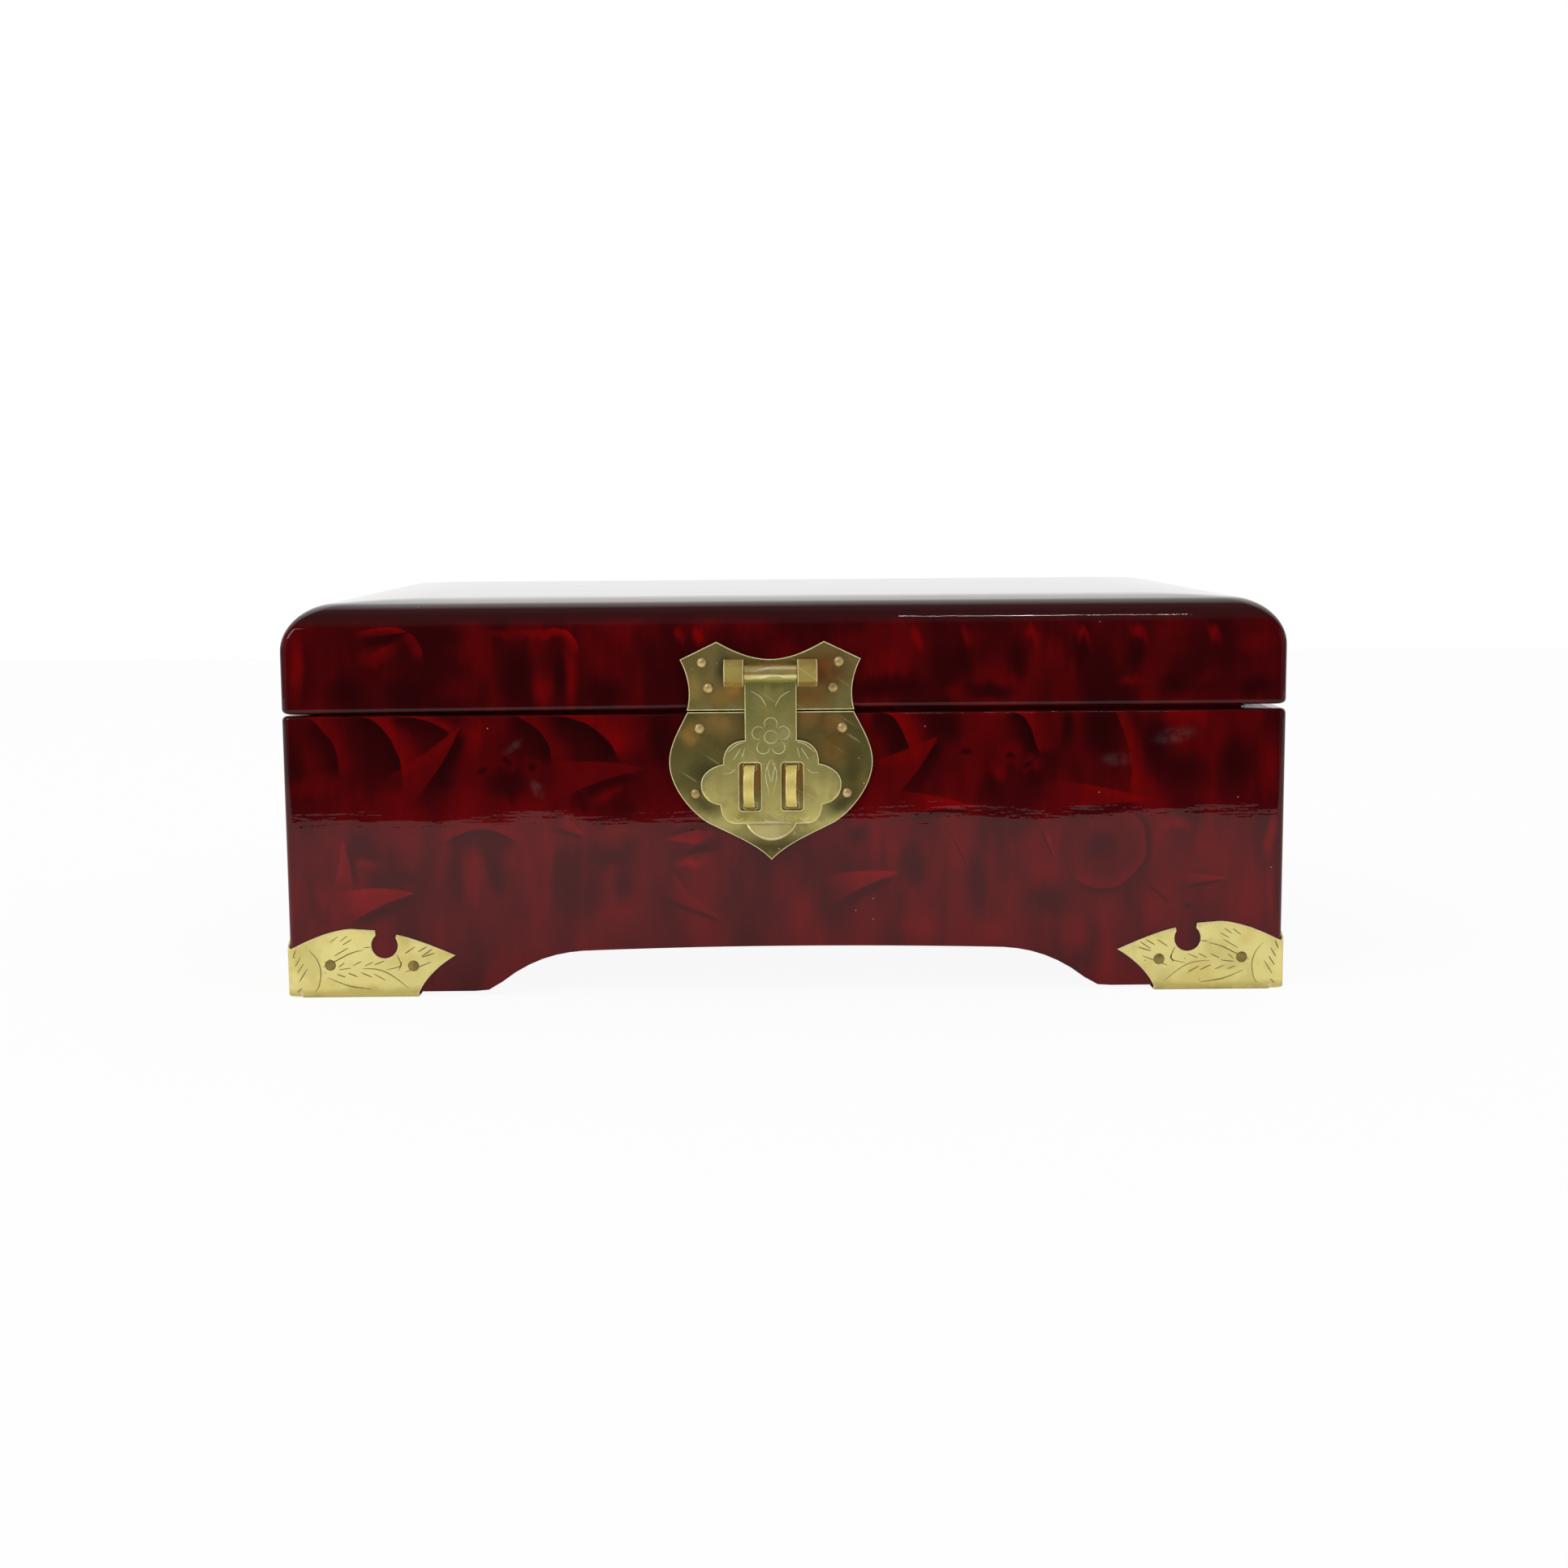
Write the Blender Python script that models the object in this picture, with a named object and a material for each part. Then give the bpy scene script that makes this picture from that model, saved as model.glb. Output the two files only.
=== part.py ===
"""Red lacquered wooden jewelry box with brass fittings.

Metres, +Z up, front towards -Y, origin on the floor under the middle of the box.
The base stands on four bracket feet in folded brass mounts. The lid swings on two rear hinges.
A brass hasp hangs from the upper lock plate and drops over two staples in the lower one.
Inside are a lift-out tray on ledges, lining boards that locate the lid, and a mirror in the lid.
"""
import math

import bmesh
import bpy
from mathutils import Matrix, Vector

# Driving dimensions of the case
BOX_WIDTH = 0.250
BOX_DEPTH = 0.180
RIM_HEIGHT = 0.0710
LID_GAP = 0.0011
LID_HEIGHT = 0.0269
WALL = 0.009
SEAT_GAP = 0.0003
OVERRUN = 0.004
SAME_PLACE = 0.0000001
SHARP_ANGLE_DEG = 35.0

# Edges of the case
CORNER_RADIUS = 0.0020
RIM_EDGE_RADIUS = 0.0012
LID_EDGE_RADIUS = 0.0115
LID_CROWN_RUN = 0.0220
LID_CROWN_DROP = 0.0007
LID_TOP_CORNER_RADIUS = 0.0060
LID_TOP_THICKNESS = 0.0125
CORNER_STEPS = 4
EDGE_STEPS = 8
CROWN_STEPS = 4

# Feet and the apron cut between them
FOOT_LENGTH = 0.0482
APRON_CURVE_RUN = 0.0258
APRON_RISE = 0.0109
APRON_SHOULDER_SHARE = 0.927
APRON_CURVE_SHARES = (
    ((0.089, 0.0), (0.167, 0.147), (0.248, 0.312)),
    ((0.399, 0.541), (0.612, 0.881), (1.0, APRON_SHOULDER_SHARE)),
)
APRON_CROWN_SHARES = (0.60, 0.30)
CURVE_STEPS = 8

# Bottom board and the groove that holds it
BOARD_UNDERSIDE = 0.0151
BOARD_THICKNESS = 0.0040
GROOVE_DEPTH = 0.0030

# Brass corner mounts, cut flat and folded round the corner and under the foot
MOUNT_SHEET = 0.0008
MOUNT_REACH = 0.0415
MOUNT_HEIGHT = 0.0164
MOUNT_TOP_SHARES = ((0.0, 0.68), ((0.12, 0.85), (0.27, 1.0), (0.38, 1.0)), (0.517, 0.975))
MOUNT_TIP_SHARES = (
    (0.645, 0.905),
    ((0.76, 0.84), (0.88, 0.71), (1.0, 0.575)),
    ((0.905, 0.44), (0.81, 0.21), (0.775, 0.0)),
)
NOTCH_RADIUS = 0.0033
NOTCH_PLACE_SHARES = (0.573, 0.74)
NOTCH_START_DEG = 131.0
NOTCH_SWEEP_DEG = 262.0
NOTCH_STEPS = 14
FLAP_LENGTH = 0.0070
FLAP_RELIEF = 0.0028
FOLD_STEPS = 2
MOUNT_NAIL_SHARES = ((0.243, 0.44), (0.745, 0.42))
MOUNT_NAIL_RADIUS = 0.00135
MOUNT_NAIL_HEIGHT = 0.0004

# Lock plates
CLASP_OFFSET = -0.0036
PLATE_SHEET = 0.0008
PLATE_LINE_GAP = 0.0004
LOWER_PLATE_HALF_WIDTH = 0.0253
LOWER_PLATE_HEIGHT = 0.0372
LOWER_PLATE_SHARES = (
    (0.816, 0.0),
    ((0.904, 0.120), (1.0, 0.219), (1.0, 0.339)),
    ((1.0, 0.503), (0.792, 0.672), (0.632, 0.743)),
    ((0.400, 0.825), (0.144, 0.891), (0.0, 1.0)),
)
UPPER_PLATE_HALF_WIDTH = 0.0224
UPPER_PLATE_HEIGHT = 0.0170
UPPER_PLATE_SHARES = (
    (0.928, 0.0),
    ((0.887, 0.168), (0.882, 0.455), (1.0, 0.743)),
    (0.593, 1.0),
    ((0.362, 0.826), (0.181, 0.743), (0.0, 0.743)),
)
LOWER_NAIL_SHARES = ((0.700, 0.110), (0.745, 0.548))
UPPER_NAIL_SHARES = ((0.755, 0.700), (0.688, 0.325))
DOME_NAIL_RADIUS = 0.00125
DOME_NAIL_HEIGHT = 0.0009
NAIL_SHANK_RADIUS = 0.00055
NAIL_HOLE_CLEARANCE = 0.0002
NAIL_STEPS = 10
DOME_SHARES = ((0.93, 0.42), (0.62, 0.85))

# Hasp, its pin and the lugs that carry it
PIN_RISE = 0.0094
PIN_RADIUS = 0.00115
PIN_EASE_SHARE = 0.25
RUNNING_CLEARANCE = 0.00015
HASP_SHEET = 0.0008
HASP_HALF_WIDTH = 0.01745
HASP_DROP = 0.0375
STRAP_SHARE = 0.369
CLOUD_SHARES = (
    (STRAP_SHARE, 0.443),
    ((0.547, 0.443), (0.680, 0.497), (0.680, 0.584)),
    (0.680, 0.600),
    ((0.814, 0.611), (1.0, 0.654), (1.0, 0.735)),
    ((1.0, 0.816), (0.884, 0.865), (0.727, 0.873)),
    ((0.721, 0.930), (0.674, 0.995), (0.512, 1.0)),
    (0.355, 1.0),
    ((0.330, 1.062), (0.170, 1.125), (0.0, 1.125)),
)
TAB_ANGLE_DEG = 40.0
ROLL_TURN_DEG = 298.0
ROLL_STEPS = 14
SLOT_WIDTH = 0.00535
SLOT_HEIGHT = 0.0120
SLOT_SPACING = 0.01045
SLOT_DROP = 0.0282
SLOT_CORNER = 0.0008
SLOT_CORNER_STEPS = 2
LUG_WIDTH = 0.0049
LUG_HALF_HEIGHT = 0.00345
LUG_FACE_HALF_HEIGHT = 0.0019
LUG_STRAP = 0.0009
LUG_WAIST_SHARES = (0.90, 0.35)
LUG_SIDE_CLEARANCE = 0.0002
BORE_STEPS = 10

# Staples that the hasp drops over
STAPLE_WIDTH = 0.0026
STAPLE_STRAP = 0.0010
STAPLE_HALF_HEIGHT = 0.0054
STAPLE_REACH = 0.0050
STAPLE_STEPS = 10
STAPLE_SLIT_CLEARANCE = 0.0002
SLIT_CORNER_STEPS = 1

# Rear hinges
HINGE_SPACING = 0.130
HINGE_WIDTH = 0.030
HINGE_LEAF_LENGTH = 0.0150
HINGE_SHEET = 0.0008
HINGE_PIN_RADIUS = 0.00105
HINGE_KNUCKLES = 5
HINGE_LEAF_CORNER = 0.0030
KNUCKLE_GAP = 0.0003
HINGE_NAIL_SHARES = ((-0.62, 0.64), (0.62, 0.64))

# Lining, floor pad and tray ledges
LINING = 0.0025
LIP_RISE = 0.0040
PAD_THICKNESS = 0.0025
LEDGE_SIZE = 0.0040
LEDGE_TOP = 0.0460
LEDGE_LENGTH_SHARE = 0.90
SOFT_EDGE = 0.0006

# Tray
TRAY_CLEARANCE = 0.0007
TRAY_HEIGHT = 0.0235
TRAY_WALL = 0.0030
TRAY_FLOOR = 0.0020
DIVIDER = 0.0020
DIVIDER_DROP = 0.0020
RING_BAY_DEPTH = 0.0500
RING_ROLLS = 5
ROLL_HEIGHT = 0.0175
ROLL_CROWN_SHARES = (
    (0.0, 0.74), (0.03, 0.93), (0.09, 1.0), (0.91, 1.0), (0.97, 0.93), (1.0, 0.74),
)
ROLL_SIDES = 8
ROLL_VALLEY_SHARE = 0.45
ROLL_CROWN_POWER = 0.7
COMPARTMENTS = 4
FINGER_NOTCH_HALF_WIDTH = 0.0120
FINGER_NOTCH_DEPTH = 0.0080

# Mirror in the lid
MIRROR_CARD = 0.0010
MIRROR_GLASS = 0.0025
MIRROR_FRAME_WIDTH = 0.0100
MIRROR_FRAME_HEIGHT = 0.0055
MIRROR_FRAME_INSET = 0.0005
MIRROR_REBATE = 0.0030
FRAME_EDGE = 0.0008
THIN_EDGE = 0.00025

# Heights and places that follow from the sizes above
FOOT_LIFT = MOUNT_SHEET + SEAT_GAP
LID_UNDERSIDE = RIM_HEIGHT + LID_GAP
TOTAL_HEIGHT = LID_UNDERSIDE + LID_HEIGHT
LID_TOP_UNDERSIDE = TOTAL_HEIGHT - LID_TOP_THICKNESS
SEAM_HEIGHT = RIM_HEIGHT + LID_GAP / 2
FRONT_FACE = -BOX_DEPTH / 2
BACK_FACE = BOX_DEPTH / 2
PLATE_BACK = FRONT_FACE - SEAT_GAP
PLATE_FRONT = PLATE_BACK - PLATE_SHEET
HASP_ROLL_RADIUS = PIN_RADIUS + RUNNING_CLEARANCE + HASP_SHEET
PIN_HEIGHT = SEAM_HEIGHT + PIN_RISE
PIN_Y = PLATE_FRONT - SEAT_GAP - HASP_ROLL_RADIUS
HINGE_ROLL_RADIUS = HINGE_PIN_RADIUS + RUNNING_CLEARANCE + HINGE_SHEET
HINGE_Y = BACK_FACE + SEAT_GAP + HINGE_ROLL_RADIUS
BOARD_TOP = BOARD_UNDERSIDE + BOARD_THICKNESS
LINING_FLOOR = BOARD_TOP + SEAT_GAP
LIP_TOP = RIM_HEIGHT + LIP_RISE
LINING_FACE = WALL + SEAT_GAP + LINING
TRAY_UNDERSIDE = LEDGE_TOP + SEAT_GAP
TRAY_TOP = TRAY_UNDERSIDE + TRAY_HEIGHT
TRAY_HALF_WIDTH = BOX_WIDTH / 2 - LINING_FACE - TRAY_CLEARANCE
TRAY_HALF_DEPTH = BOX_DEPTH / 2 - LINING_FACE - TRAY_CLEARANCE
MITRE_CUT = SEAT_GAP / math.sqrt(2)
NAIL_HOLE_RADIUS = NAIL_SHANK_RADIUS + NAIL_HOLE_CLEARANCE

# Colour, roughness and metallic value of each material
FINISHES = {
    "lacquer": ((0.16, 0.006, 0.010), 0.12, 0.0),
    "bare_wood": ((0.30, 0.17, 0.09), 0.60, 0.0),
    "brass": ((0.75, 0.63, 0.25), 0.30, 1.0),
    "bright_brass": ((0.62, 0.50, 0.20), 0.28, 1.0),
    "lock_brass": ((0.38, 0.34, 0.13), 0.30, 1.0),
    "nail_brass": ((0.42, 0.30, 0.14), 0.35, 1.0),
    "lining": ((0.35, 0.02, 0.03), 0.85, 0.0),
    "velvet": ((0.30, 0.015, 0.02), 0.95, 0.0),
    "frame_wood": ((0.12, 0.01, 0.01), 0.20, 0.0),
    "card": ((0.20, 0.16, 0.12), 0.90, 0.0),
    "mirror": ((0.90, 0.90, 0.90), 0.02, 1.0),
}


def make_material(name, colour, roughness, metallic):
    """One Principled material."""
    material = bpy.data.materials.new(name)
    material.use_nodes = True
    shader = material.node_tree.nodes["Principled BSDF"]
    shader.inputs["Base Color"].default_value = (*colour, 1.0)
    shader.inputs["Roughness"].default_value = roughness
    shader.inputs["Metallic"].default_value = metallic
    return material


def clear_scene():
    for item in list(bpy.data.objects):
        bpy.data.objects.remove(item, do_unlink=True)


def finish_object(name, bm, colour_name, parent=None, location=(0, 0, 0), turn=0.0, smooth=True):
    """Turns a bmesh into a named object with its own material, placed under its parent."""
    bmesh.ops.recalc_face_normals(bm, faces=bm.faces)
    mesh = bpy.data.meshes.new(name)
    bm.to_mesh(mesh)
    bm.free()
    if smooth:
        mesh.shade_smooth()
        mesh.set_sharp_from_angle(angle=math.radians(SHARP_ANGLE_DEG))
    item = bpy.data.objects.new(name, mesh)
    bpy.context.scene.collection.objects.link(item)
    item.location = location
    item.rotation_euler = (0, 0, turn)
    hang_from(item, parent)
    if colour_name:
        mesh.materials.append(make_material(name, *FINISHES[colour_name]))
    return item


def make_empty(name, location, parent=None):
    """An empty on a joint axis, which the moving pieces hang from."""
    empty = bpy.data.objects.new(name, None)
    empty.location = location
    bpy.context.scene.collection.objects.link(empty)
    hang_from(empty, parent)
    return empty


def hang_from(item, parent):
    """Parents an object and leaves it where it is."""
    if parent is not None:
        item.parent = parent
        item.matrix_parent_inverse = Matrix.Translation(parent.location).inverted()


def make_cutter(name, bm, turn=0.0):
    """A shape that only trims others."""
    cutter = finish_object(name, bm, None, turn=turn, smooth=False)
    cutter.hide_render = True
    cutter.display_type = "WIRE"
    return cutter


def trim(item, cutter, operation):
    modifier = item.modifiers.new(cutter.name, "BOOLEAN")
    modifier.solver = "EXACT"
    modifier.operation = operation
    modifier.object = cutter


def cubic(start, control_a, control_b, end, steps):
    """Points of a cubic curve after its start."""
    points = []
    for step in range(1, steps + 1):
        t = step / steps
        weights = ((1 - t) ** 3, 3 * t * (1 - t) ** 2, 3 * t * t * (1 - t), t ** 3)
        corners = (start, control_a, control_b, end)
        points.append(tuple(sum(w * c[k] for w, c in zip(weights, corners)) for k in (0, 1)))
    return points


def trace(runs, width, height, start=None):
    """Follows straight and curved runs given as shares, and returns points in metres."""
    points = [] if start is None else [start]
    for run in runs:
        if isinstance(run[0], tuple):
            corners = [(u * width, v * height) for u, v in run]
            points += cubic(points[-1], *corners, CURVE_STEPS)
        else:
            points.append((run[0] * width, run[1] * height))
    return points


def mirrored(half):
    """Closes a half outline that starts and ends on the middle line, or starts off it."""
    other = [(-u, v) for u, v in reversed(half) if abs(u) > SAME_PLACE]
    return half + other


def circle(centre, radius, steps):
    return [
        (centre[0] + radius * math.cos(math.tau * k / steps),
         centre[1] + radius * math.sin(math.tau * k / steps))
        for k in range(steps)
    ]


def rounded_rectangle(centre, width, height, radius, steps):
    """Outline of a rectangle with round corners, anticlockwise from the lower right."""
    points = []
    for quarter, (side_u, side_v) in enumerate(((1, -1), (1, 1), (-1, 1), (-1, -1))):
        pivot = (centre[0] + side_u * (width / 2 - radius), centre[1] + side_v * (height / 2 - radius))
        for k in range(steps + 1):
            angle = math.pi / 2 * (quarter - 1 + k / steps)
            points.append((pivot[0] + radius * math.cos(angle), pivot[1] + radius * math.sin(angle)))
    return points


def extrude_outline(bm, outline, holes, thickness, creases=(), form=None, studs=()):
    """Fills a flat outline with holes, scores it at the creases, thickens it and forms it.

    The flat pattern lies in (u, v). form(u, v, w) gives the place of a point that lies w in
    front of the sheet's back. Studs are (place, radius, height) of round nail heads on the front.
    """
    edges = []
    stud_loops = [circle(place, radius, NAIL_STEPS) for place, radius, _ in studs]
    rims = []
    for loop in [outline, *holes, *stud_loops]:
        verts = [bm.verts.new((u, 0, v)) for u, v in loop]
        rims.append(verts)
        for a, b in zip(verts, verts[1:] + verts[:1]):
            edges.append(bm.edges.new((a, b)))
    bmesh.ops.triangle_fill(bm, use_beauty=True, use_dissolve=False, edges=edges, normal=(0, -1, 0))
    for rim in rims[len(rims) - len(studs):]:
        bm.faces.new(rim)
    for place, direction in creases:
        geometry = bm.verts[:] + bm.edges[:] + bm.faces[:]
        bmesh.ops.bisect_plane(bm, geom=geometry, plane_co=place, plane_no=direction, dist=SAME_PLACE)
    front = bmesh.ops.extrude_face_region(bm, geom=bm.faces[:])
    moved = [v for v in front["geom"] if isinstance(v, bmesh.types.BMVert)]
    for vert in moved:
        vert.co.y = -thickness
    raise_studs(bm, studs, thickness)
    if form is not None:
        for vert in bm.verts:
            vert.co = form(vert.co.x, vert.co.z, -vert.co.y)


def raise_studs(bm, studs, thickness):
    """Domes the round faces that the studs left on the front of a flat sheet."""
    for (u, v), _, height in studs:
        middle = Vector((u, -thickness, v))
        disc = min(bm.faces, key=lambda face: (face.calc_center_median() - middle).length)
        low = list(disc.verts)
        bm.faces.remove(disc)
        arms = [vert.co - middle for vert in low]
        for radius_share, height_share in DOME_SHARES:
            rise = Vector((0, -height * height_share, 0))
            high = [bm.verts.new(middle + arm * radius_share + rise) for arm in arms]
            join_rings(bm, low, high)
            low = high
        join_rings(bm, low, [bm.verts.new(middle + Vector((0, -height, 0)))])


def join_rings(bm, low, high):
    """Faces between two rings of points, either of which may be a single point."""
    steps = max(len(low), len(high))
    for k in range(steps):
        n = (k + 1) % steps
        corners = [low[k % len(low)], low[n % len(low)], high[n % len(high)], high[k % len(high)]]
        bm.faces.new(list(dict.fromkeys(corners)))


def pushed_section(section, length):
    """A closed (y, z) section pushed along X, centred on its origin."""
    bm = bmesh.new()
    extrude_outline(bm, section, [], length)
    for vert in bm.verts:
        vert.co = Vector((-vert.co.y - length / 2, vert.co.x, vert.co.z))
    return bm


def turned(bm, profile, steps, matrix):
    """A profile of (radius, height) pairs that starts and ends on the axis, spun round it."""
    rings = []
    for radius, height in profile:
        if radius == 0:
            rings.append([bm.verts.new(matrix @ Vector((0, 0, height)))])
        else:
            rings.append([
                bm.verts.new(matrix @ Vector((u, v, height))) for u, v in circle((0, 0), radius, steps)
            ])
    for low, high in zip(rings, rings[1:]):
        join_rings(bm, low, high)


def lofted_block(half_x, half_y, rows, steps):
    """Round-cornered rectangles stacked by rows of (height, inset, corner radius), and capped."""
    bm = bmesh.new()
    loops = []
    for height, inset, radius in rows:
        outline = rounded_rectangle((0, 0), 2 * (half_x - inset), 2 * (half_y - inset), radius, steps)
        loops.append([bm.verts.new((u, v, height)) for u, v in outline])
    for low, high in zip(loops, loops[1:]):
        join_rings(bm, low, high)
    bm.faces.new(list(reversed(loops[0])))
    bm.faces.new(loops[-1])
    return bm


def mitred_strip(section, half_run, half_across):
    """A section of (inset, height) points run along X at the front, with mitred ends."""
    bm = bmesh.new()
    ends = []
    for side in (-1, 1):
        ends.append([
            bm.verts.new((side * (half_run - inset - MITRE_CUT), inset - half_across, height))
            for inset, height in section
        ])
    for k in range(len(section)):
        n = (k + 1) % len(section)
        bm.faces.new((ends[0][k], ends[0][n], ends[1][n], ends[1][k]))
    bm.faces.new(list(reversed(ends[0])))
    bm.faces.new(ends[1])
    return bm


def strip_set(pattern, section, colour_name, half_width, half_depth, parent=None):
    """Four mitred strips that make a frame, in the order front, right, back, left."""
    strips = []
    for quarter, side in enumerate(("front", "right", "back", "left")):
        along = (half_width, half_depth) if quarter % 2 == 0 else (half_depth, half_width)
        bm = mitred_strip(section, *along)
        turn = quarter * math.pi / 2
        strips.append(finish_object(pattern.format(side), bm, colour_name, parent=parent, turn=turn))
    return strips


def block(name, low, high, colour_name, parent=None, edge=SOFT_EDGE):
    """A box between two corners, its edges eased."""
    bm = bmesh.new()
    bmesh.ops.create_cube(bm, size=1)
    for vert in bm.verts:
        shares = [c + 0.5 for c in vert.co]
        vert.co = Vector([a + (b - a) * s for a, b, s in zip(low, high, shares)])
    bmesh.ops.bevel(bm, geom=bm.edges[:], offset=edge, segments=1, affect="EDGES")
    return finish_object(name, bm, colour_name, parent=parent)


def nail(bm, matrix, head_radius, head_height, shank_length):
    """A round nail: a low dome, and the shank that passes through the sheet under it."""
    lift = SEAT_GAP / 2
    profile = [(0, -shank_length), (NAIL_SHANK_RADIUS, -shank_length), (NAIL_SHANK_RADIUS, lift)]
    profile.append((head_radius, lift))
    profile += [(head_radius * r, lift + head_height * h) for r, h in DOME_SHARES]
    profile.append((0, lift + head_height))
    turned(bm, profile, NAIL_STEPS, matrix)


def facing(place, direction):
    """A matrix at a place, with its Z along a direction."""
    return Matrix.Translation(place) @ Vector(direction).to_track_quat("Z", "Y").to_matrix().to_4x4()


def rolled(radius, sheet):
    """Forms a strap whose part above v = 0 rolls round an axis in front of its back face."""
    middle = radius - sheet / 2

    def form(u, v, w):
        if v <= 0:
            return Vector((u, radius - w, v))
        angle = v / middle
        return Vector((u, (radius - w) * math.cos(angle), (radius - w) * math.sin(angle)))

    return form


def roll_creases(radius, sheet):
    """The roll's flat length and the lines across the strap where it bends."""
    length = math.radians(ROLL_TURN_DEG) * (radius - sheet / 2)
    lines = [((0, 0, length * k / ROLL_STEPS), (0, 0, 1)) for k in range(ROLL_STEPS)]
    return length, lines


def apron_cutter(name, half_wall, through, turn):
    """The curved opening between two feet, pushed right through opposite walls."""
    half_cut = half_wall - FOOT_LENGTH
    shoulder = half_cut - APRON_CURVE_RUN
    curve = [(0.0, 0.0)]
    for run in APRON_CURVE_SHARES:
        corners = [(u * APRON_CURVE_RUN, v * APRON_RISE) for u, v in run]
        curve += cubic(curve[-1], *corners, CURVE_STEPS)
    half = [(half_cut, FOOT_LIFT - OVERRUN)]
    half += [(half_cut - run, FOOT_LIFT + rise) for run, rise in curve]
    top = FOOT_LIFT + APRON_RISE
    controls = [(shoulder * share, top) for share in APRON_CROWN_SHARES]
    half += cubic(half[-1], *controls, (0.0, top), CURVE_STEPS)
    bm = bmesh.new()
    extrude_outline(bm, mirrored(half), [], through)
    bmesh.ops.translate(bm, verts=bm.verts, vec=(0, through / 2, 0))
    return make_cutter(name, bm, turn=turn)


def build_case():
    """Four mitred walls with apron cut-outs, and the bottom board in their groove."""
    rows = [(FOOT_LIFT, 0.0, CORNER_RADIUS)]
    for k in range(CORNER_STEPS + 1):
        angle = math.pi / 2 * k / CORNER_STEPS
        inset = RIM_EDGE_RADIUS * (1 - math.cos(angle))
        height = RIM_HEIGHT - RIM_EDGE_RADIUS * (1 - math.sin(angle))
        rows.append((height, inset, CORNER_RADIUS))
    envelope = make_cutter(
        "case_envelope", lofted_block(BOX_WIDTH / 2, BOX_DEPTH / 2, rows, CORNER_STEPS))
    groove_low = BOARD_UNDERSIDE - SEAT_GAP
    groove_high = BOARD_TOP + SEAT_GAP
    groove_back = WALL - GROOVE_DEPTH
    section = [
        (-OVERRUN, FOOT_LIFT - OVERRUN), (WALL, FOOT_LIFT - OVERRUN), (WALL, groove_low),
        (groove_back, groove_low), (groove_back, groove_high), (WALL, groove_high),
        (WALL, RIM_HEIGHT + OVERRUN), (-OVERRUN, RIM_HEIGHT + OVERRUN),
    ]
    walls = strip_set("base_{}_wall", section, "lacquer", BOX_WIDTH / 2, BOX_DEPTH / 2)
    long_cut = apron_cutter("long_apron", BOX_WIDTH / 2, BOX_DEPTH + OVERRUN, 0.0)
    short_cut = apron_cutter("short_apron", BOX_DEPTH / 2, BOX_WIDTH + OVERRUN, math.pi / 2)
    for number, wall in enumerate(walls):
        trim(wall, envelope, "INTERSECT")
        trim(wall, long_cut if number % 2 == 0 else short_cut, "DIFFERENCE")
    reach = WALL - GROOVE_DEPTH + SEAT_GAP
    block(
        "bottom_board",
        (reach - BOX_WIDTH / 2, reach - BOX_DEPTH / 2, BOARD_UNDERSIDE),
        (BOX_WIDTH / 2 - reach, BOX_DEPTH / 2 - reach, BOARD_TOP),
        "bare_wood")


def build_lid(parent):
    """Four mitred rails under a top board whose edges are rounded over into a low crown."""
    envelope_rows = [(LID_UNDERSIDE, 0.0, CORNER_RADIUS), (TOTAL_HEIGHT, 0.0, CORNER_RADIUS)]
    envelope = make_cutter(
        "lid_envelope", lofted_block(BOX_WIDTH / 2, BOX_DEPTH / 2, envelope_rows, CORNER_STEPS))
    rail_top = LID_TOP_UNDERSIDE - SEAT_GAP
    section = [
        (-OVERRUN, LID_UNDERSIDE - OVERRUN), (WALL, LID_UNDERSIDE - OVERRUN),
        (WALL, rail_top), (-OVERRUN, rail_top),
    ]
    for rail in strip_set("lid_{}_rail", section, "lacquer", BOX_WIDTH / 2, BOX_DEPTH / 2, parent):
        trim(rail, envelope, "INTERSECT")
    rows = [(LID_TOP_UNDERSIDE, 0.0, CORNER_RADIUS)]
    growth = LID_TOP_CORNER_RADIUS - CORNER_RADIUS
    sweep = math.pi / 2 - math.atan(2 * LID_CROWN_DROP / LID_CROWN_RUN)
    shoulder = TOTAL_HEIGHT - LID_CROWN_DROP
    for k in range(EDGE_STEPS + 1):
        angle = sweep * k / EDGE_STEPS
        inset_share = 1 - math.cos(angle)
        height = shoulder - LID_EDGE_RADIUS * (math.sin(sweep) - math.sin(angle))
        rows.append((height, LID_EDGE_RADIUS * inset_share, CORNER_RADIUS + growth * inset_share))
    _, edge_inset, edge_corner = rows[-1]
    for k in range(1, CROWN_STEPS + 1):
        share = k / CROWN_STEPS
        height = TOTAL_HEIGHT - LID_CROWN_DROP * (1 - share) ** 2
        rows.append((height, edge_inset + LID_CROWN_RUN * share, edge_corner))
    bm = lofted_block(BOX_WIDTH / 2, BOX_DEPTH / 2, rows, CORNER_STEPS)
    finish_object("lid_top_board", bm, "lacquer", parent=parent)


def mount_outline():
    """Flat pattern of a corner mount, with its notches and the flaps that fold under."""
    half = trace(MOUNT_TOP_SHARES, MOUNT_REACH, MOUNT_HEIGHT)
    centre = (NOTCH_PLACE_SHARES[0] * MOUNT_REACH, NOTCH_PLACE_SHARES[1] * MOUNT_HEIGHT)
    for k in range(NOTCH_STEPS + 1):
        angle = math.radians(NOTCH_START_DEG + NOTCH_SWEEP_DEG * k / NOTCH_STEPS)
        arm = (NOTCH_RADIUS * math.cos(angle), NOTCH_RADIUS * math.sin(angle))
        half.append((centre[0] + arm[0], centre[1] + arm[1]))
    half += trace(MOUNT_TIP_SHARES, MOUNT_REACH, MOUNT_HEIGHT)
    inner_end = half[-1][0]
    half += [
        (inner_end, -FLAP_LENGTH), (FLAP_RELIEF + FLAP_LENGTH, -FLAP_LENGTH),
        (FLAP_RELIEF, 0.0), (0.0, 0.0),
    ]
    return mirrored(half)


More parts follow.
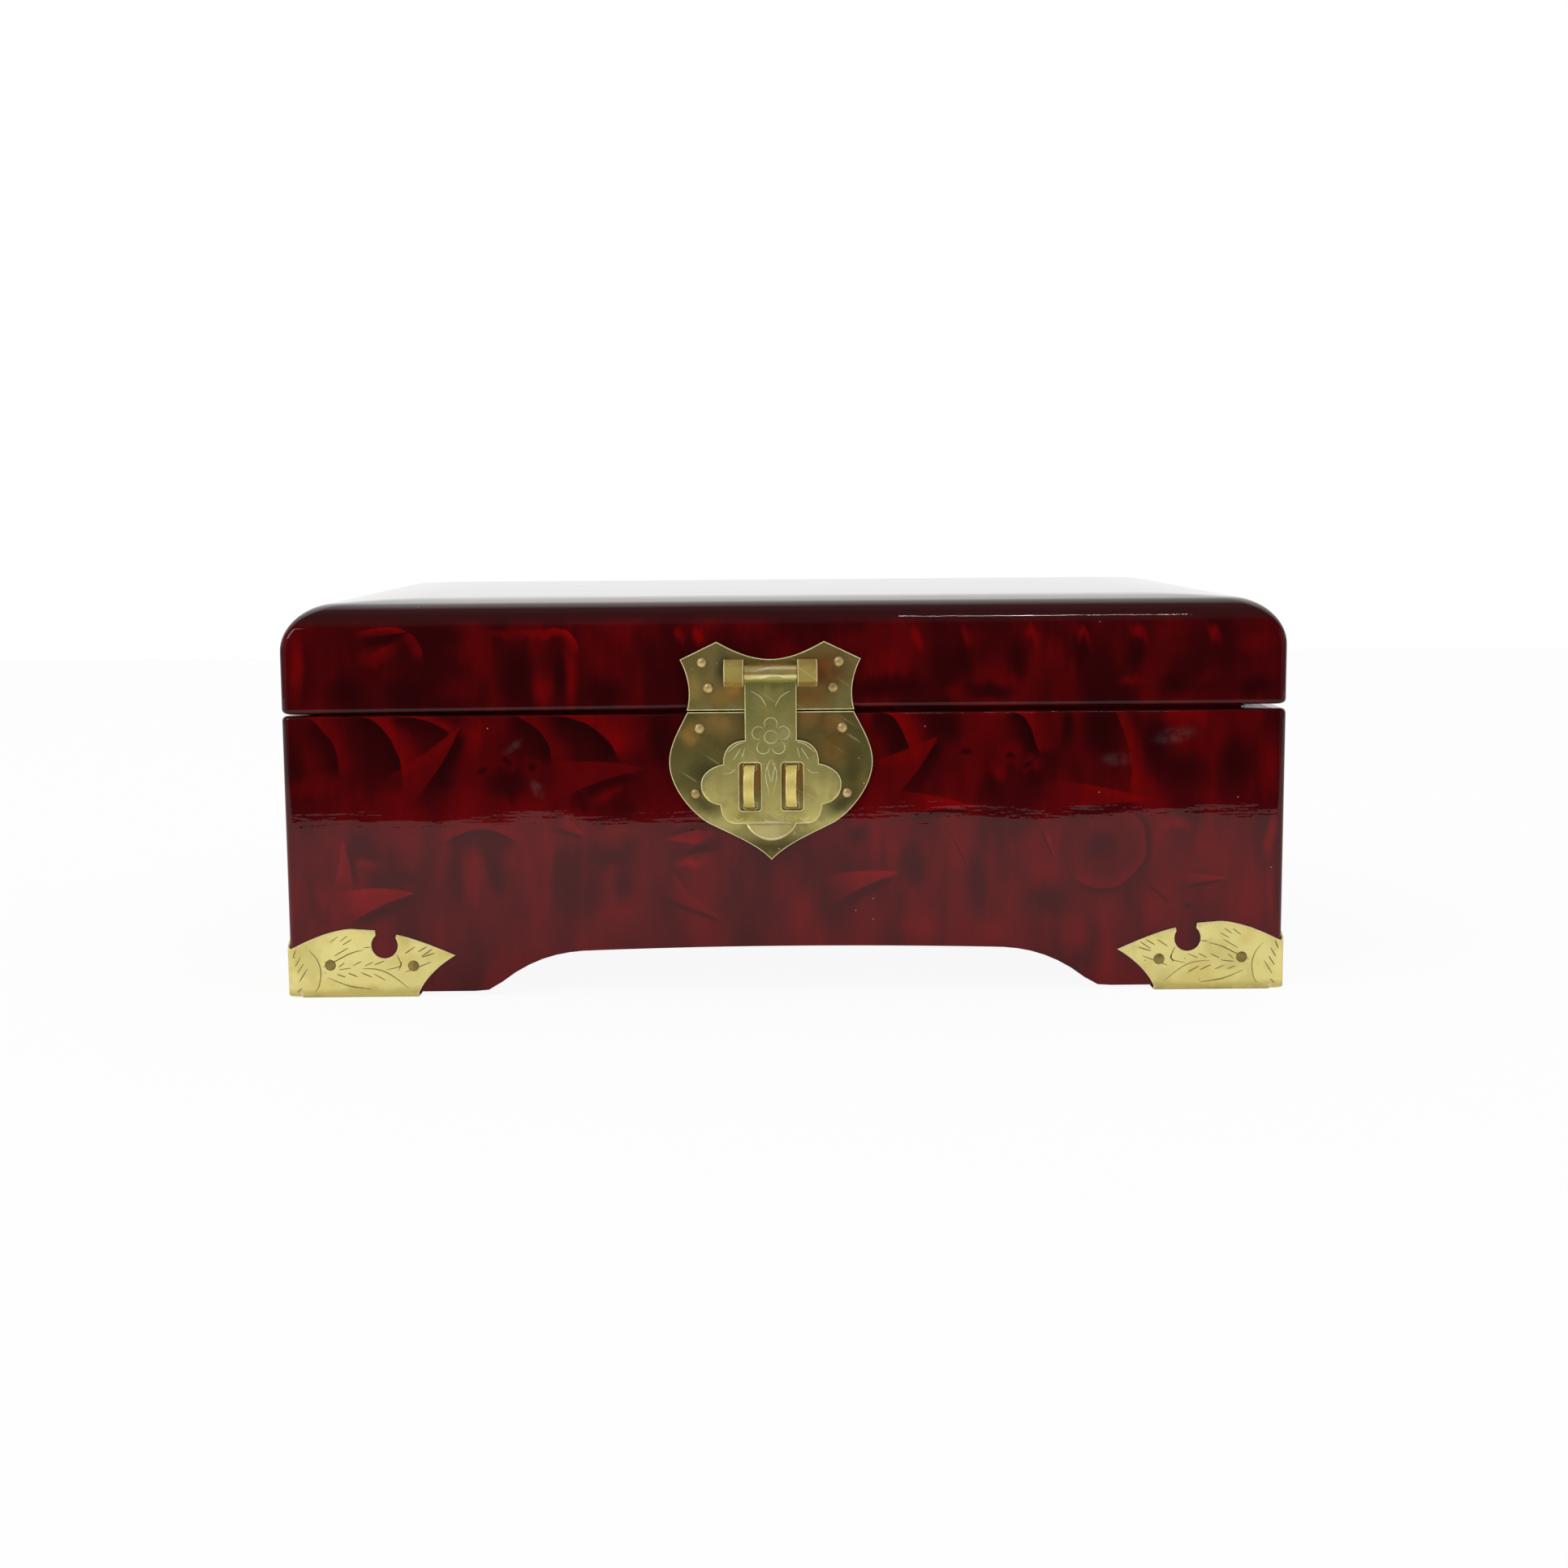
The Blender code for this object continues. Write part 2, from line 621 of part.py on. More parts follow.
def build_corner_mounts():
    """Sheet brass mounts with raised nail heads, bent round the corner and under the foot."""
    back_radius = CORNER_RADIUS + SEAT_GAP
    half_arc = math.pi / 4 * back_radius
    fold_arc = math.pi / 2 * SEAT_GAP

    def form(u, v, w):
        out, drop, inward = SEAT_GAP + w, 0.0, 0.0
        if v < -fold_arc:
            out, drop, inward = 0.0, SEAT_GAP + w, -v - fold_arc
        elif v < 0:
            angle = -v / SEAT_GAP
            out, drop = (SEAT_GAP + w) * math.cos(angle), (SEAT_GAP + w) * math.sin(angle)
        height = FOOT_LIFT + max(v, 0.0) - drop
        offset = out - inward
        if abs(u) <= half_arc:
            angle = math.pi / 4 * (1 - u / half_arc)
            radius = CORNER_RADIUS + offset
            x = CORNER_RADIUS - radius * math.sin(angle)
            y = CORNER_RADIUS - radius * math.cos(angle)
        elif u > 0:
            x, y = CORNER_RADIUS + u - half_arc, -offset
        else:
            x, y = -offset, CORNER_RADIUS - u - half_arc
        return Vector((x, y, height))

    creases = []
    for k in range(-CORNER_STEPS, CORNER_STEPS + 1):
        creases.append(((half_arc * k / CORNER_STEPS, 0, 0), (1, 0, 0)))
    for k in range(FOLD_STEPS + 1):
        creases.append(((0, 0, -fold_arc * k / FOLD_STEPS), (0, 0, 1)))
    nail_places = both_sides(MOUNT_NAIL_SHARES, MOUNT_REACH, MOUNT_HEIGHT)
    studs = [(place, MOUNT_NAIL_RADIUS, MOUNT_NAIL_HEIGHT) for place in nail_places]
    corners = (("front_left", -1, -1), ("front_right", 1, -1), ("back_right", 1, 1), ("back_left", -1, 1))
    for quarter, (name, side_x, side_y) in enumerate(corners):
        bm = bmesh.new()
        extrude_outline(bm, mount_outline(), [], MOUNT_SHEET, creases, form, studs)
        location = (side_x * BOX_WIDTH / 2, side_y * BOX_DEPTH / 2, 0)
        turn = quarter * math.pi / 2
        finish_object(f"corner_mount_{name}", bm, "brass", location=location, turn=turn)


def plate_nails(name, places, parent=None):
    """Dome nails on the front of a lock plate."""
    for number, (u, height) in enumerate(places, start=1):
        bm = bmesh.new()
        nail(bm, facing((0, 0, 0), (0, -1, 0)), DOME_NAIL_RADIUS, DOME_NAIL_HEIGHT, PLATE_SHEET)
        place = (CLASP_OFFSET + u, PLATE_FRONT, height)
        finish_object(f"{name}_{number}", bm, "nail_brass", parent=parent, location=place)


def both_sides(shares, width, height):
    return [(side * u * width, v * height) for side in (-1, 1) for u, v in shares]


def build_lock_plates(lid):
    """The shield in two halves, with the staples in the lower one."""
    lower_top = SEAM_HEIGHT - PLATE_LINE_GAP / 2
    upper_low = SEAM_HEIGHT + PLATE_LINE_GAP / 2
    half = trace(LOWER_PLATE_SHARES, LOWER_PLATE_HALF_WIDTH, -LOWER_PLATE_HEIGHT)
    nails = both_sides(LOWER_NAIL_SHARES, LOWER_PLATE_HALF_WIDTH, -LOWER_PLATE_HEIGHT)
    holes = [circle(place, NAIL_HOLE_RADIUS, NAIL_STEPS) for place in nails]
    slot_middle = PIN_HEIGHT - SLOT_DROP
    leg = STAPLE_HALF_HEIGHT - STAPLE_STRAP / 2
    slit = (STAPLE_WIDTH + STAPLE_SLIT_CLEARANCE * 2, STAPLE_STRAP + STAPLE_SLIT_CLEARANCE * 2)
    for side in (-1, 1):
        for end in (-1, 1):
            middle = (side * SLOT_SPACING / 2, slot_middle - lower_top + end * leg)
            holes.append(rounded_rectangle(middle, *slit, STAPLE_SLIT_CLEARANCE, SLIT_CORNER_STEPS))
    bm = bmesh.new()
    extrude_outline(bm, mirrored(half), holes, PLATE_SHEET)
    finish_object("lower_lock_plate", bm, "lock_brass", location=(CLASP_OFFSET, PLATE_BACK, lower_top))
    plate_nails("lower_plate_nail", [(u, lower_top + v) for u, v in nails])

    half = trace(UPPER_PLATE_SHARES, UPPER_PLATE_HALF_WIDTH, UPPER_PLATE_HEIGHT)
    nails = both_sides(UPPER_NAIL_SHARES, UPPER_PLATE_HALF_WIDTH, UPPER_PLATE_HEIGHT)
    holes = [circle(place, NAIL_HOLE_RADIUS, NAIL_STEPS) for place in nails]
    bm = bmesh.new()
    extrude_outline(bm, mirrored(half), holes, PLATE_SHEET)
    place = (CLASP_OFFSET, PLATE_BACK, upper_low)
    finish_object("upper_lock_plate", bm, "lock_brass", parent=lid, location=place)
    plate_nails("upper_plate_nail", [(u, upper_low + v) for u, v in nails], parent=lid)

    inner_height = STAPLE_HALF_HEIGHT - STAPLE_STRAP
    inner_reach = STAPLE_REACH - STAPLE_STRAP
    angles = [math.pi * k / STAPLE_STEPS for k in range(STAPLE_STEPS + 1)]
    outer = [(-STAPLE_REACH * math.sin(a), STAPLE_HALF_HEIGHT * math.cos(a)) for a in angles]
    inner = [(-inner_reach * math.sin(a), inner_height * math.cos(a)) for a in reversed(angles)]
    section = [(PLATE_SHEET, STAPLE_HALF_HEIGHT), *outer, (PLATE_SHEET, -STAPLE_HALF_HEIGHT)]
    section += [(PLATE_SHEET, -inner_height), *inner, (PLATE_SHEET, inner_height)]
    for name, side in (("left", -1), ("right", 1)):
        bm = pushed_section(section, STAPLE_WIDTH)
        place = (CLASP_OFFSET + side * SLOT_SPACING / 2, PLATE_FRONT, slot_middle)
        finish_object(f"lock_staple_{name}", bm, "bright_brass", location=place)


def build_hasp(pin_frame, lid):
    """The hasp, cut flat, rolled round its pin and its tab bent out, with pin and lugs."""
    radius = HASP_ROLL_RADIUS
    roll_length, creases = roll_creases(radius, HASP_SHEET)
    strap = STRAP_SHARE * HASP_HALF_WIDTH
    half = trace(CLOUD_SHARES, HASP_HALF_WIDTH, -HASP_DROP, start=(strap, roll_length))
    outline = mirrored(half)
    slots = [
        rounded_rectangle(
            (side * SLOT_SPACING / 2, -SLOT_DROP), SLOT_WIDTH, SLOT_HEIGHT, SLOT_CORNER, SLOT_CORNER_STEPS)
        for side in (-1, 1)
    ]
    creases.append(((0, 0, -HASP_DROP), (0, 0, 1)))
    roll = rolled(radius, HASP_SHEET)
    tab = math.radians(TAB_ANGLE_DEG)

    def form(u, v, w):
        past = -v - HASP_DROP
        if past < -SAME_PLACE:
            return roll(u, v, w)
        turn, stretch = (tab, 1.0) if past > SAME_PLACE else (tab / 2, 1 / math.cos(tab / 2))
        past = max(past, 0.0)
        y = radius - past * math.sin(tab) - w * stretch * math.cos(turn)
        z = -HASP_DROP - past * math.cos(tab) + w * stretch * math.sin(turn)
        return Vector((u, y, z))

    bm = bmesh.new()
    extrude_outline(bm, outline, slots, HASP_SHEET, creases, form)
    place = (CLASP_OFFSET, PIN_Y, PIN_HEIGHT)
    finish_object("hasp", bm, "lock_brass", parent=pin_frame, location=place)

    lug_reach = PLATE_FRONT - PIN_Y
    bore = PIN_RADIUS + RUNNING_CLEARANCE
    front = -(bore + LUG_STRAP)
    waist_z = LUG_WAIST_SHARES[0] * LUG_HALF_HEIGHT
    waist_y = lug_reach * LUG_WAIST_SHARES[1]
    foot = lug_reach - SEAT_GAP
    outer = [(foot, -LUG_HALF_HEIGHT), (waist_y, -waist_z), (front, -LUG_FACE_HALF_HEIGHT)]
    outer += [(y, -z) for y, z in reversed(outer)]
    arc = [math.pi * k / BORE_STEPS for k in range(BORE_STEPS + 1)]
    inner = [(-bore * math.sin(a), bore * math.cos(a)) for a in arc]
    section = outer + [(foot, bore)] + inner + [(foot, -bore)]
    half_gap = strap + LUG_SIDE_CLEARANCE
    for name, side in (("left", -1), ("right", 1)):
        bm = pushed_section(section, LUG_WIDTH)
        centre = (CLASP_OFFSET + side * (half_gap + LUG_WIDTH / 2), PIN_Y, PIN_HEIGHT)
        finish_object(f"hasp_lug_{name}", bm, "bright_brass", parent=lid, location=centre)
    reach = half_gap + LUG_WIDTH
    bm = bmesh.new()
    turned(bm, pin_profile(PIN_RADIUS, reach), NAIL_STEPS, facing((0, 0, 0), (1, 0, 0)))
    finish_object("hasp_pin", bm, "bright_brass", parent=lid, location=place)


def pin_profile(radius, reach):
    """A round pin with eased ends."""
    ease = radius * PIN_EASE_SHARE
    return [
        (0, -reach), (radius - ease, -reach), (radius, ease - reach),
        (radius, reach - ease), (radius - ease, reach), (0, reach),
    ]


def leaf_outline(fingers, roll_length):
    """Flat pattern of a hinge leaf: a plate with round lower corners and knuckle straps."""
    half = HINGE_WIDTH / 2
    root = -(HINGE_ROLL_RADIUS + KNUCKLE_GAP)
    lower = rounded_rectangle(
        (0, (root - HINGE_LEAF_LENGTH) / 2), HINGE_WIDTH, HINGE_LEAF_LENGTH + root,
        HINGE_LEAF_CORNER, CORNER_STEPS)
    count = CORNER_STEPS + 1
    points = lower[3 * count:] + lower[:count]
    tops = []
    for low, high in fingers:
        tops += [(high, root), (high, roll_length), (low, roll_length), (low, root)]
    reaches_ends = half - fingers[0][1] < KNUCKLE_GAP
    if reaches_ends:
        return points + tops[1:-1]
    return points + [(half, root)] + tops + [(-half, root)]


def build_rear_hinges(lid):
    """Two butt hinges on the back: rolled leaves on a pin, nailed to base and lid."""
    radius = HINGE_ROLL_RADIUS
    roll_length, creases = roll_creases(radius, HINGE_SHEET)
    form = rolled(radius, HINGE_SHEET)
    pitch = HINGE_WIDTH / HINGE_KNUCKLES
    knuckles = []
    for k in range(HINGE_KNUCKLES):
        high = HINGE_WIDTH / 2 - k * pitch - (KNUCKLE_GAP / 2 if k > 0 else 0.0)
        low = HINGE_WIDTH / 2 - (k + 1) * pitch + (KNUCKLE_GAP / 2 if k < HINGE_KNUCKLES - 1 else 0.0)
        knuckles.append((low, high))
    studs = [
        ((u * HINGE_WIDTH / 2, -v * HINGE_LEAF_LENGTH), DOME_NAIL_RADIUS, DOME_NAIL_HEIGHT)
        for u, v in HINGE_NAIL_SHARES
    ]
    for side_name, side in (("left", -1), ("right", 1)):
        place = Vector((side * HINGE_SPACING / 2, HINGE_Y, SEAM_HEIGHT))
        for leaf, fingers, flip in (("base", knuckles[0::2], 1), ("lid", knuckles[1::2], -1)):
            bm = bmesh.new()
            outline = leaf_outline(fingers, roll_length)
            extrude_outline(bm, outline, [], HINGE_SHEET, creases, form, studs)
            swing = Matrix.Diagonal((-1, -1, 1, 1)) if flip > 0 else Matrix.Diagonal((1, -1, -1, 1))
            bmesh.ops.transform(bm, matrix=swing, verts=bm.verts)
            parent = lid if leaf == "lid" else None
            name = f"rear_hinge_{side_name}_{leaf}_leaf"
            finish_object(name, bm, "bright_brass", parent=parent, location=place)
        bm = bmesh.new()
        profile = pin_profile(HINGE_PIN_RADIUS, HINGE_WIDTH / 2)
        turned(bm, profile, NAIL_STEPS, facing((0, 0, 0), (1, 0, 0)))
        finish_object(f"rear_hinge_{side_name}_pin", bm, "bright_brass", location=place)


def build_lining():
    """Lining boards that stand proud of the rim, the floor pad and the tray ledges."""
    outer = WALL + SEAT_GAP
    inner = outer + LINING
    section = [
        (outer, LINING_FLOOR), (inner, LINING_FLOOR), (inner, LIP_TOP - SOFT_EDGE),
        (inner - SOFT_EDGE, LIP_TOP), (outer + SOFT_EDGE, LIP_TOP), (outer, LIP_TOP - SOFT_EDGE),
    ]
    strip_set("{}_lining_board", section, "lining", BOX_WIDTH / 2, BOX_DEPTH / 2)
    edge = inner + SEAT_GAP
    block(
        "floor_pad",
        (edge - BOX_WIDTH / 2, edge - BOX_DEPTH / 2, LINING_FLOOR),
        (BOX_WIDTH / 2 - edge, BOX_DEPTH / 2 - edge, LINING_FLOOR + PAD_THICKNESS),
        "lining")
    half_length = (BOX_DEPTH / 2 - edge) * LEDGE_LENGTH_SHARE
    for name, side in (("left", -1), ("right", 1)):
        near = side * (BOX_WIDTH / 2 - edge)
        far = side * (BOX_WIDTH / 2 - edge - LEDGE_SIZE)
        block(
            f"tray_ledge_{name}",
            (min(near, far), -half_length, LEDGE_TOP - LEDGE_SIZE),
            (max(near, far), half_length, LEDGE_TOP),
            "lining")


def ring_cushion(centre, length, depth):
    """Padded ring rolls sewn side by side: round crowns, sewn valleys, ends drawn in."""
    bm = bmesh.new()
    width = depth / RING_ROLLS
    top = []
    for roll in range(RING_ROLLS):
        for k in range(ROLL_SIDES if roll == RING_ROLLS - 1 else ROLL_SIDES - 1):
            angle = math.pi * k / (ROLL_SIDES - 1)
            y = (roll + 0.5) * width - depth / 2 - width / 2 * math.cos(angle)
            crown = math.sin(angle) ** ROLL_CROWN_POWER
            top.append((y, ROLL_VALLEY_SHARE + (1 - ROLL_VALLEY_SHARE) * crown))
    loops = []
    for along, swell in ROLL_CROWN_SHARES:
        x = (along - 0.5) * length
        loop = [bm.verts.new((x, -depth / 2, 0))]
        loop += [bm.verts.new((x, y, ROLL_HEIGHT * rise * swell)) for y, rise in top]
        loop.append(bm.verts.new((x, depth / 2, 0)))
        loops.append(loop)
    for low, high in zip(loops, loops[1:]):
        join_rings(bm, low, high)
    bm.faces.new(list(reversed(loops[0])))
    bm.faces.new(loops[-1])
    bmesh.ops.translate(bm, verts=bm.verts, vec=centre)
    return bm


def build_tray(tray):
    """The lift-out tray: walls with finger notches, floor, dividers and ring rolls."""
    inner_x = TRAY_HALF_WIDTH - TRAY_WALL
    inner_y = TRAY_HALF_DEPTH - TRAY_WALL
    for name, side in (("front", -1), ("back", 1)):
        near, far = sorted((side * TRAY_HALF_DEPTH, side * inner_y))
        block(f"tray_{name}_wall", (-TRAY_HALF_WIDTH, near, TRAY_UNDERSIDE),
              (TRAY_HALF_WIDTH, far, TRAY_TOP), "lining", parent=tray)
    half_run = inner_y - SEAT_GAP
    dip = TRAY_TOP - FINGER_NOTCH_DEPTH
    notch = [(FINGER_NOTCH_HALF_WIDTH, TRAY_TOP)]
    notch += cubic(notch[0], (FINGER_NOTCH_HALF_WIDTH / 2, TRAY_TOP),
                   (FINGER_NOTCH_HALF_WIDTH / 2, dip), (0.0, dip), CURVE_STEPS)
    half = [(half_run, TRAY_UNDERSIDE), (half_run, TRAY_TOP), *notch]
    for name, side in (("left", -1), ("right", 1)):
        bm = bmesh.new()
        extrude_outline(bm, mirrored(half), [], TRAY_WALL)
        place = (side * (TRAY_HALF_WIDTH - TRAY_WALL / 2) - TRAY_WALL / 2, 0, 0)
        finish_object(f"tray_{name}_wall", bm, "lining", parent=tray, location=place, turn=math.pi / 2)
    room_x, room_y = inner_x - SEAT_GAP, inner_y - SEAT_GAP
    floor_top = TRAY_UNDERSIDE + TRAY_FLOOR
    block("tray_floor", (-room_x, -room_y, TRAY_UNDERSIDE), (room_x, room_y, floor_top),
          "lining", parent=tray)
    base = floor_top + SEAT_GAP
    divider_top = TRAY_TOP - DIVIDER_DROP
    bay_back = RING_BAY_DEPTH - room_y
    block("tray_long_divider", (-room_x, bay_back, base), (room_x, bay_back + DIVIDER, divider_top),
          "lining", parent=tray)
    start = bay_back + DIVIDER + SEAT_GAP
    for k in range(1, COMPARTMENTS):
        x = -room_x + 2 * room_x * k / COMPARTMENTS
        block(f"tray_short_divider_{k}", (x - DIVIDER / 2, start, base),
              (x + DIVIDER / 2, room_y, divider_top), "lining", parent=tray)
    bay_depth = bay_back - SEAT_GAP + room_y
    middle = (0.0, bay_depth / 2 - room_y, base)
    finish_object("ring_rolls", ring_cushion(middle, 2 * room_x, bay_depth), "velvet", parent=tray)


def build_mirror(lid):
    """Mirror under the lid's top board, held by a rebated frame."""
    top = LID_TOP_UNDERSIDE - SEAT_GAP
    outer = WALL + MIRROR_FRAME_INSET
    inner = outer + MIRROR_FRAME_WIDTH
    low = top - MIRROR_FRAME_HEIGHT
    step = inner - MIRROR_REBATE
    card_low = top - MIRROR_CARD
    glass_top = card_low - SEAT_GAP
    glass_low = glass_top - MIRROR_GLASS
    lip = glass_low - SEAT_GAP
    section = [
        (outer, low + FRAME_EDGE), (outer + FRAME_EDGE, low), (inner - FRAME_EDGE, low),
        (inner, low + FRAME_EDGE), (inner, lip), (step, lip), (step, top), (outer, top),
    ]
    strip_set("mirror_frame_{}", section, "frame_wood", BOX_WIDTH / 2, BOX_DEPTH / 2, lid)
    edge = step + SEAT_GAP
    half_x, half_y = BOX_WIDTH / 2 - edge, BOX_DEPTH / 2 - edge
    block("mirror_backing", (-half_x, -half_y, card_low), (half_x, half_y, top), "card",
          parent=lid, edge=THIN_EDGE)
    block("mirror_glass", (-half_x, -half_y, glass_low), (half_x, half_y, glass_top), "mirror",
          parent=lid, edge=THIN_EDGE)


def main():
    clear_scene()
    lid = make_empty("lid_axis", (0, HINGE_Y, SEAM_HEIGHT))
    hasp_axis = make_empty("hasp_axis", (CLASP_OFFSET, PIN_Y, PIN_HEIGHT), parent=lid)
    tray = make_empty("tray_seat", (0, 0, TRAY_UNDERSIDE))
    build_case()
    build_lid(lid)
    build_corner_mounts()
    build_lock_plates(lid)
    build_hasp(hasp_axis, lid)
    build_rear_hinges(lid)
    build_lining()
    build_tray(tray)
    build_mirror(lid)


main()
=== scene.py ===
"""Finish, light and view of the red lacquered jewelry box.

Everything is in metres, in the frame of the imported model: +Z up, the front towards -Y.
Continuous lacquered shells, detailed brass and padded cloth stand for the plain solids.
"""
import math
import random
import bmesh
import bpy
import numpy as np
from mathutils import Matrix, Vector


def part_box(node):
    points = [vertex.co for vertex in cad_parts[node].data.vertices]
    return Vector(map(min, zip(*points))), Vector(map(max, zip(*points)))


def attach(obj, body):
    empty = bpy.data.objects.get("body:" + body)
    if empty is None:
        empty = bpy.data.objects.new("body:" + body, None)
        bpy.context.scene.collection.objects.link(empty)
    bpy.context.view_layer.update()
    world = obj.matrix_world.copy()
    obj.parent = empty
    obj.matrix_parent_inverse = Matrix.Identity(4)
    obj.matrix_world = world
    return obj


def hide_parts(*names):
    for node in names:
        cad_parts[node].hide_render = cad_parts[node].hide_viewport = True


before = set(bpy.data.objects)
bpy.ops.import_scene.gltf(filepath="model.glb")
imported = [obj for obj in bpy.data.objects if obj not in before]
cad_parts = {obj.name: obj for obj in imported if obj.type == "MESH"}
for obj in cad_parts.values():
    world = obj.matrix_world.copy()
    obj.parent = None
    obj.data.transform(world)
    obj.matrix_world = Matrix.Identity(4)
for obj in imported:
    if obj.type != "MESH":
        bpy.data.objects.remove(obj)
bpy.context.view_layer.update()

# Camera, from the vanishing lines and the corners of the box in the photograph
CAMERA_PLACE = (-0.0059, -0.6331, 0.1218)
CAMERA_YAW_DEG = 0.58
CAMERA_PITCH_DEG = 7.206
CAMERA_ROLL_DEG = -0.42
FOCAL_PIXELS = 2706.0
PHOTO_PIXELS = 1932.0
SENSOR = 36.0

# Table and surroundings
TABLE_FRONT = -0.408
TABLE_BACK = 1.2
TABLE_SIDE = 0.9

# Case sizes that the solids don't show by their boxes
SEAT_GAP = 0.0003
WALL = 0.009
CORNER_RADIUS = 0.0020
INNER_RADIUS = 0.0004
RIM_RADIUS = 0.0012
FOOT_RADIUS = 0.0007
LID_EDGE_RADIUS = 0.0115
LID_CROWN_RUN = 0.0220
LID_CROWN_DROP = 0.0007
LID_TOP_CORNER_RADIUS = 0.0060
LID_RIM_SAG = 0.0007
CORNER_STEPS = 8
EDGE_STEPS = 16
CROWN_STEPS = 10
SIDES = ("front", "right", "back", "left")

# Apron cut between the feet
FOOT_LENGTH = 0.0482
SHORT_FOOT_TRIM = 0.0032
APRON_CURVE_RUN = 0.0258
APRON_RISE = 0.0109
APRON_SHOULDER_SHARE = 0.927
APRON_CURVE_SHARES = (
    ((0.089, 0.0), (0.167, 0.147), (0.248, 0.312)),
    ((0.399, 0.541), (0.612, 0.881), (1.0, APRON_SHOULDER_SHARE)),
)
CURVE_STEPS = 14
SIDE_STATIONS = 72

# Sheet brass: rims rubbed round, burrs of engraved lines, and the order of a piece's finishes
RIM = 0.00022
ROUND_STEPS = 24
BURIED = 0.00003
BURR = 0.000012
# Finishes in order: body, worn rims painted pale as a highlight, nail heads, painted shade round the nails,
# engraved lines
BODY, WORN_RIM_HIGHLIGHT, NAIL, NAIL_SHADE, ENGRAVED = range(5)
DOME_SHARES = ((1.0, 0.10), (0.95, 0.38), (0.82, 0.66), (0.62, 0.86), (0.34, 0.97))
DISC_SHARES = ((0.93, 1.0), (0.5, 1.0))
# The ring of painted shade round each nail's foot: its reach as a share of the head's radius, and its height
NAIL_SHADE_REACH = 1.16
NAIL_SHADE_HEIGHT = 0.000015
# An engraved line: how it thins towards its ends, and its section as shares of half its width
STROKE_TAPER = 0.45
STROKE_SECTION = ((-1.2, -BURIED), (-0.8, BURR), (0.8, BURR), (1.2, -BURIED))
STROKE_STEPS = 5

# Corner mounts
MOUNT_SHEET = 0.0005
MOUNT_SEAT = 0.00015
CORNER_LIP = 0.0008
MOUNT_REACH = 0.0415
MOUNT_HEIGHT = 0.0164
MOUNT_TOP_SHARES = ((0.0, 0.68), ((0.12, 0.85), (0.27, 1.0), (0.38, 1.0)), (0.517, 0.975))
MOUNT_TIP_SHARES = (
    (0.645, 0.905),
    ((0.76, 0.84), (0.88, 0.71), (1.0, 0.575)),
    ((0.905, 0.44), (0.81, 0.21), (0.775, 0.0)),
)
NOTCH_RADIUS = 0.0033
NOTCH_PLACE_SHARES = (0.573, 0.74)
NOTCH_START_DEG = 131.0
NOTCH_SWEEP_DEG = 262.0
NOTCH_STEPS = 36
FLAP_LENGTH = 0.0070
FLAP_RELIEF = 0.0028
FOLD_STEPS = 4
MOUNT_NAIL_SHARES = ((0.243, 0.44), (0.745, 0.42))
MOUNT_NAIL_RADIUS = 0.00125
MOUNT_NAIL_HEIGHT = 0.00025
MOUNT_STROKE_WIDTH = 0.00028
MOUNT_STROKE_SWAY = 0.00018
MOUNT_STROKE_SPREAD = (0.8, 1.2)
MOUNT_STROKE_FLOOR = 0.0002
MOUNT_DRAW_SEED = 5
MOUNT_STROKE_SHARES = (
    ((0.039, 0.70), (0.018, 0.54)), ((0.072, 0.60), (0.029, 0.41)), ((0.086, 0.48), (0.036, 0.29)),
    ((0.115, 0.41), (0.047, 0.14)), ((0.072, 0.10), (0.036, 0.01)),
    ((0.108, 0.69), (0.158, 0.54), (0.181, 0.35), (0.169, 0.13), (0.140, 0.00)),
    ((0.305, 0.89), (0.241, 0.77)), ((0.359, 0.90), (0.298, 0.79)), ((0.381, 0.84), (0.309, 0.73)),
    ((0.366, 0.74), (0.251, 0.57)), ((0.495, 0.71), (0.445, 0.70)),
    ((0.452, 0.67), (0.366, 0.61), (0.280, 0.50), (0.187, 0.39)),
    ((0.330, 0.49), (0.284, 0.40)), ((0.438, 0.51), (0.370, 0.42)), ((0.510, 0.50), (0.442, 0.42)),
    ((0.574, 0.50), (0.495, 0.42)), ((0.280, 0.37), (0.381, 0.40)),
    ((0.276, 0.30), (0.341, 0.24)), ((0.341, 0.32), (0.416, 0.24)), ((0.416, 0.33), (0.503, 0.23)),
    ((0.495, 0.31), (0.585, 0.18)),
    ((0.424, 0.38), (0.531, 0.36), (0.617, 0.26), (0.725, 0.04)),
    ((0.212, 0.25), (0.337, 0.12), (0.409, 0.08), (0.499, 0.05)),
    ((0.643, 0.62), (0.668, 0.46), (0.650, 0.35)), ((0.574, 0.35), (0.664, 0.41), (0.675, 0.49)),
    ((0.765, 0.73), (0.682, 0.59)), ((0.840, 0.73), (0.768, 0.62)), ((0.869, 0.70), (0.783, 0.55)),
    ((0.883, 0.62), (0.783, 0.54)), ((0.872, 0.50), (0.668, 0.30)),
)

# Lock plates and their nails
PLATE_SHEET = 0.0008
LOWER_PLATE_SHARES = (
    (0.816, 0.0),
    ((0.904, 0.120), (1.0, 0.219), (1.0, 0.339)),
    ((1.0, 0.503), (0.792, 0.672), (0.632, 0.743)),
    ((0.400, 0.825), (0.144, 0.891), (0.0, 1.0)),
)
UPPER_PLATE_SHARES = (
    (0.928, 0.0),
    ((0.887, 0.168), (0.882, 0.455), (1.0, 0.743)),
    (0.593, 1.0),
    ((0.362, 0.826), (0.181, 0.743), (0.0, 0.743)),
)
LOWER_NAIL_SHARES = ((0.700, 0.110), (0.745, 0.548))
UPPER_NAIL_SHARES = ((0.755, 0.700), (0.688, 0.325))
DOME_NAIL_RADIUS = 0.00125
DOME_NAIL_HEIGHT = 0.0009

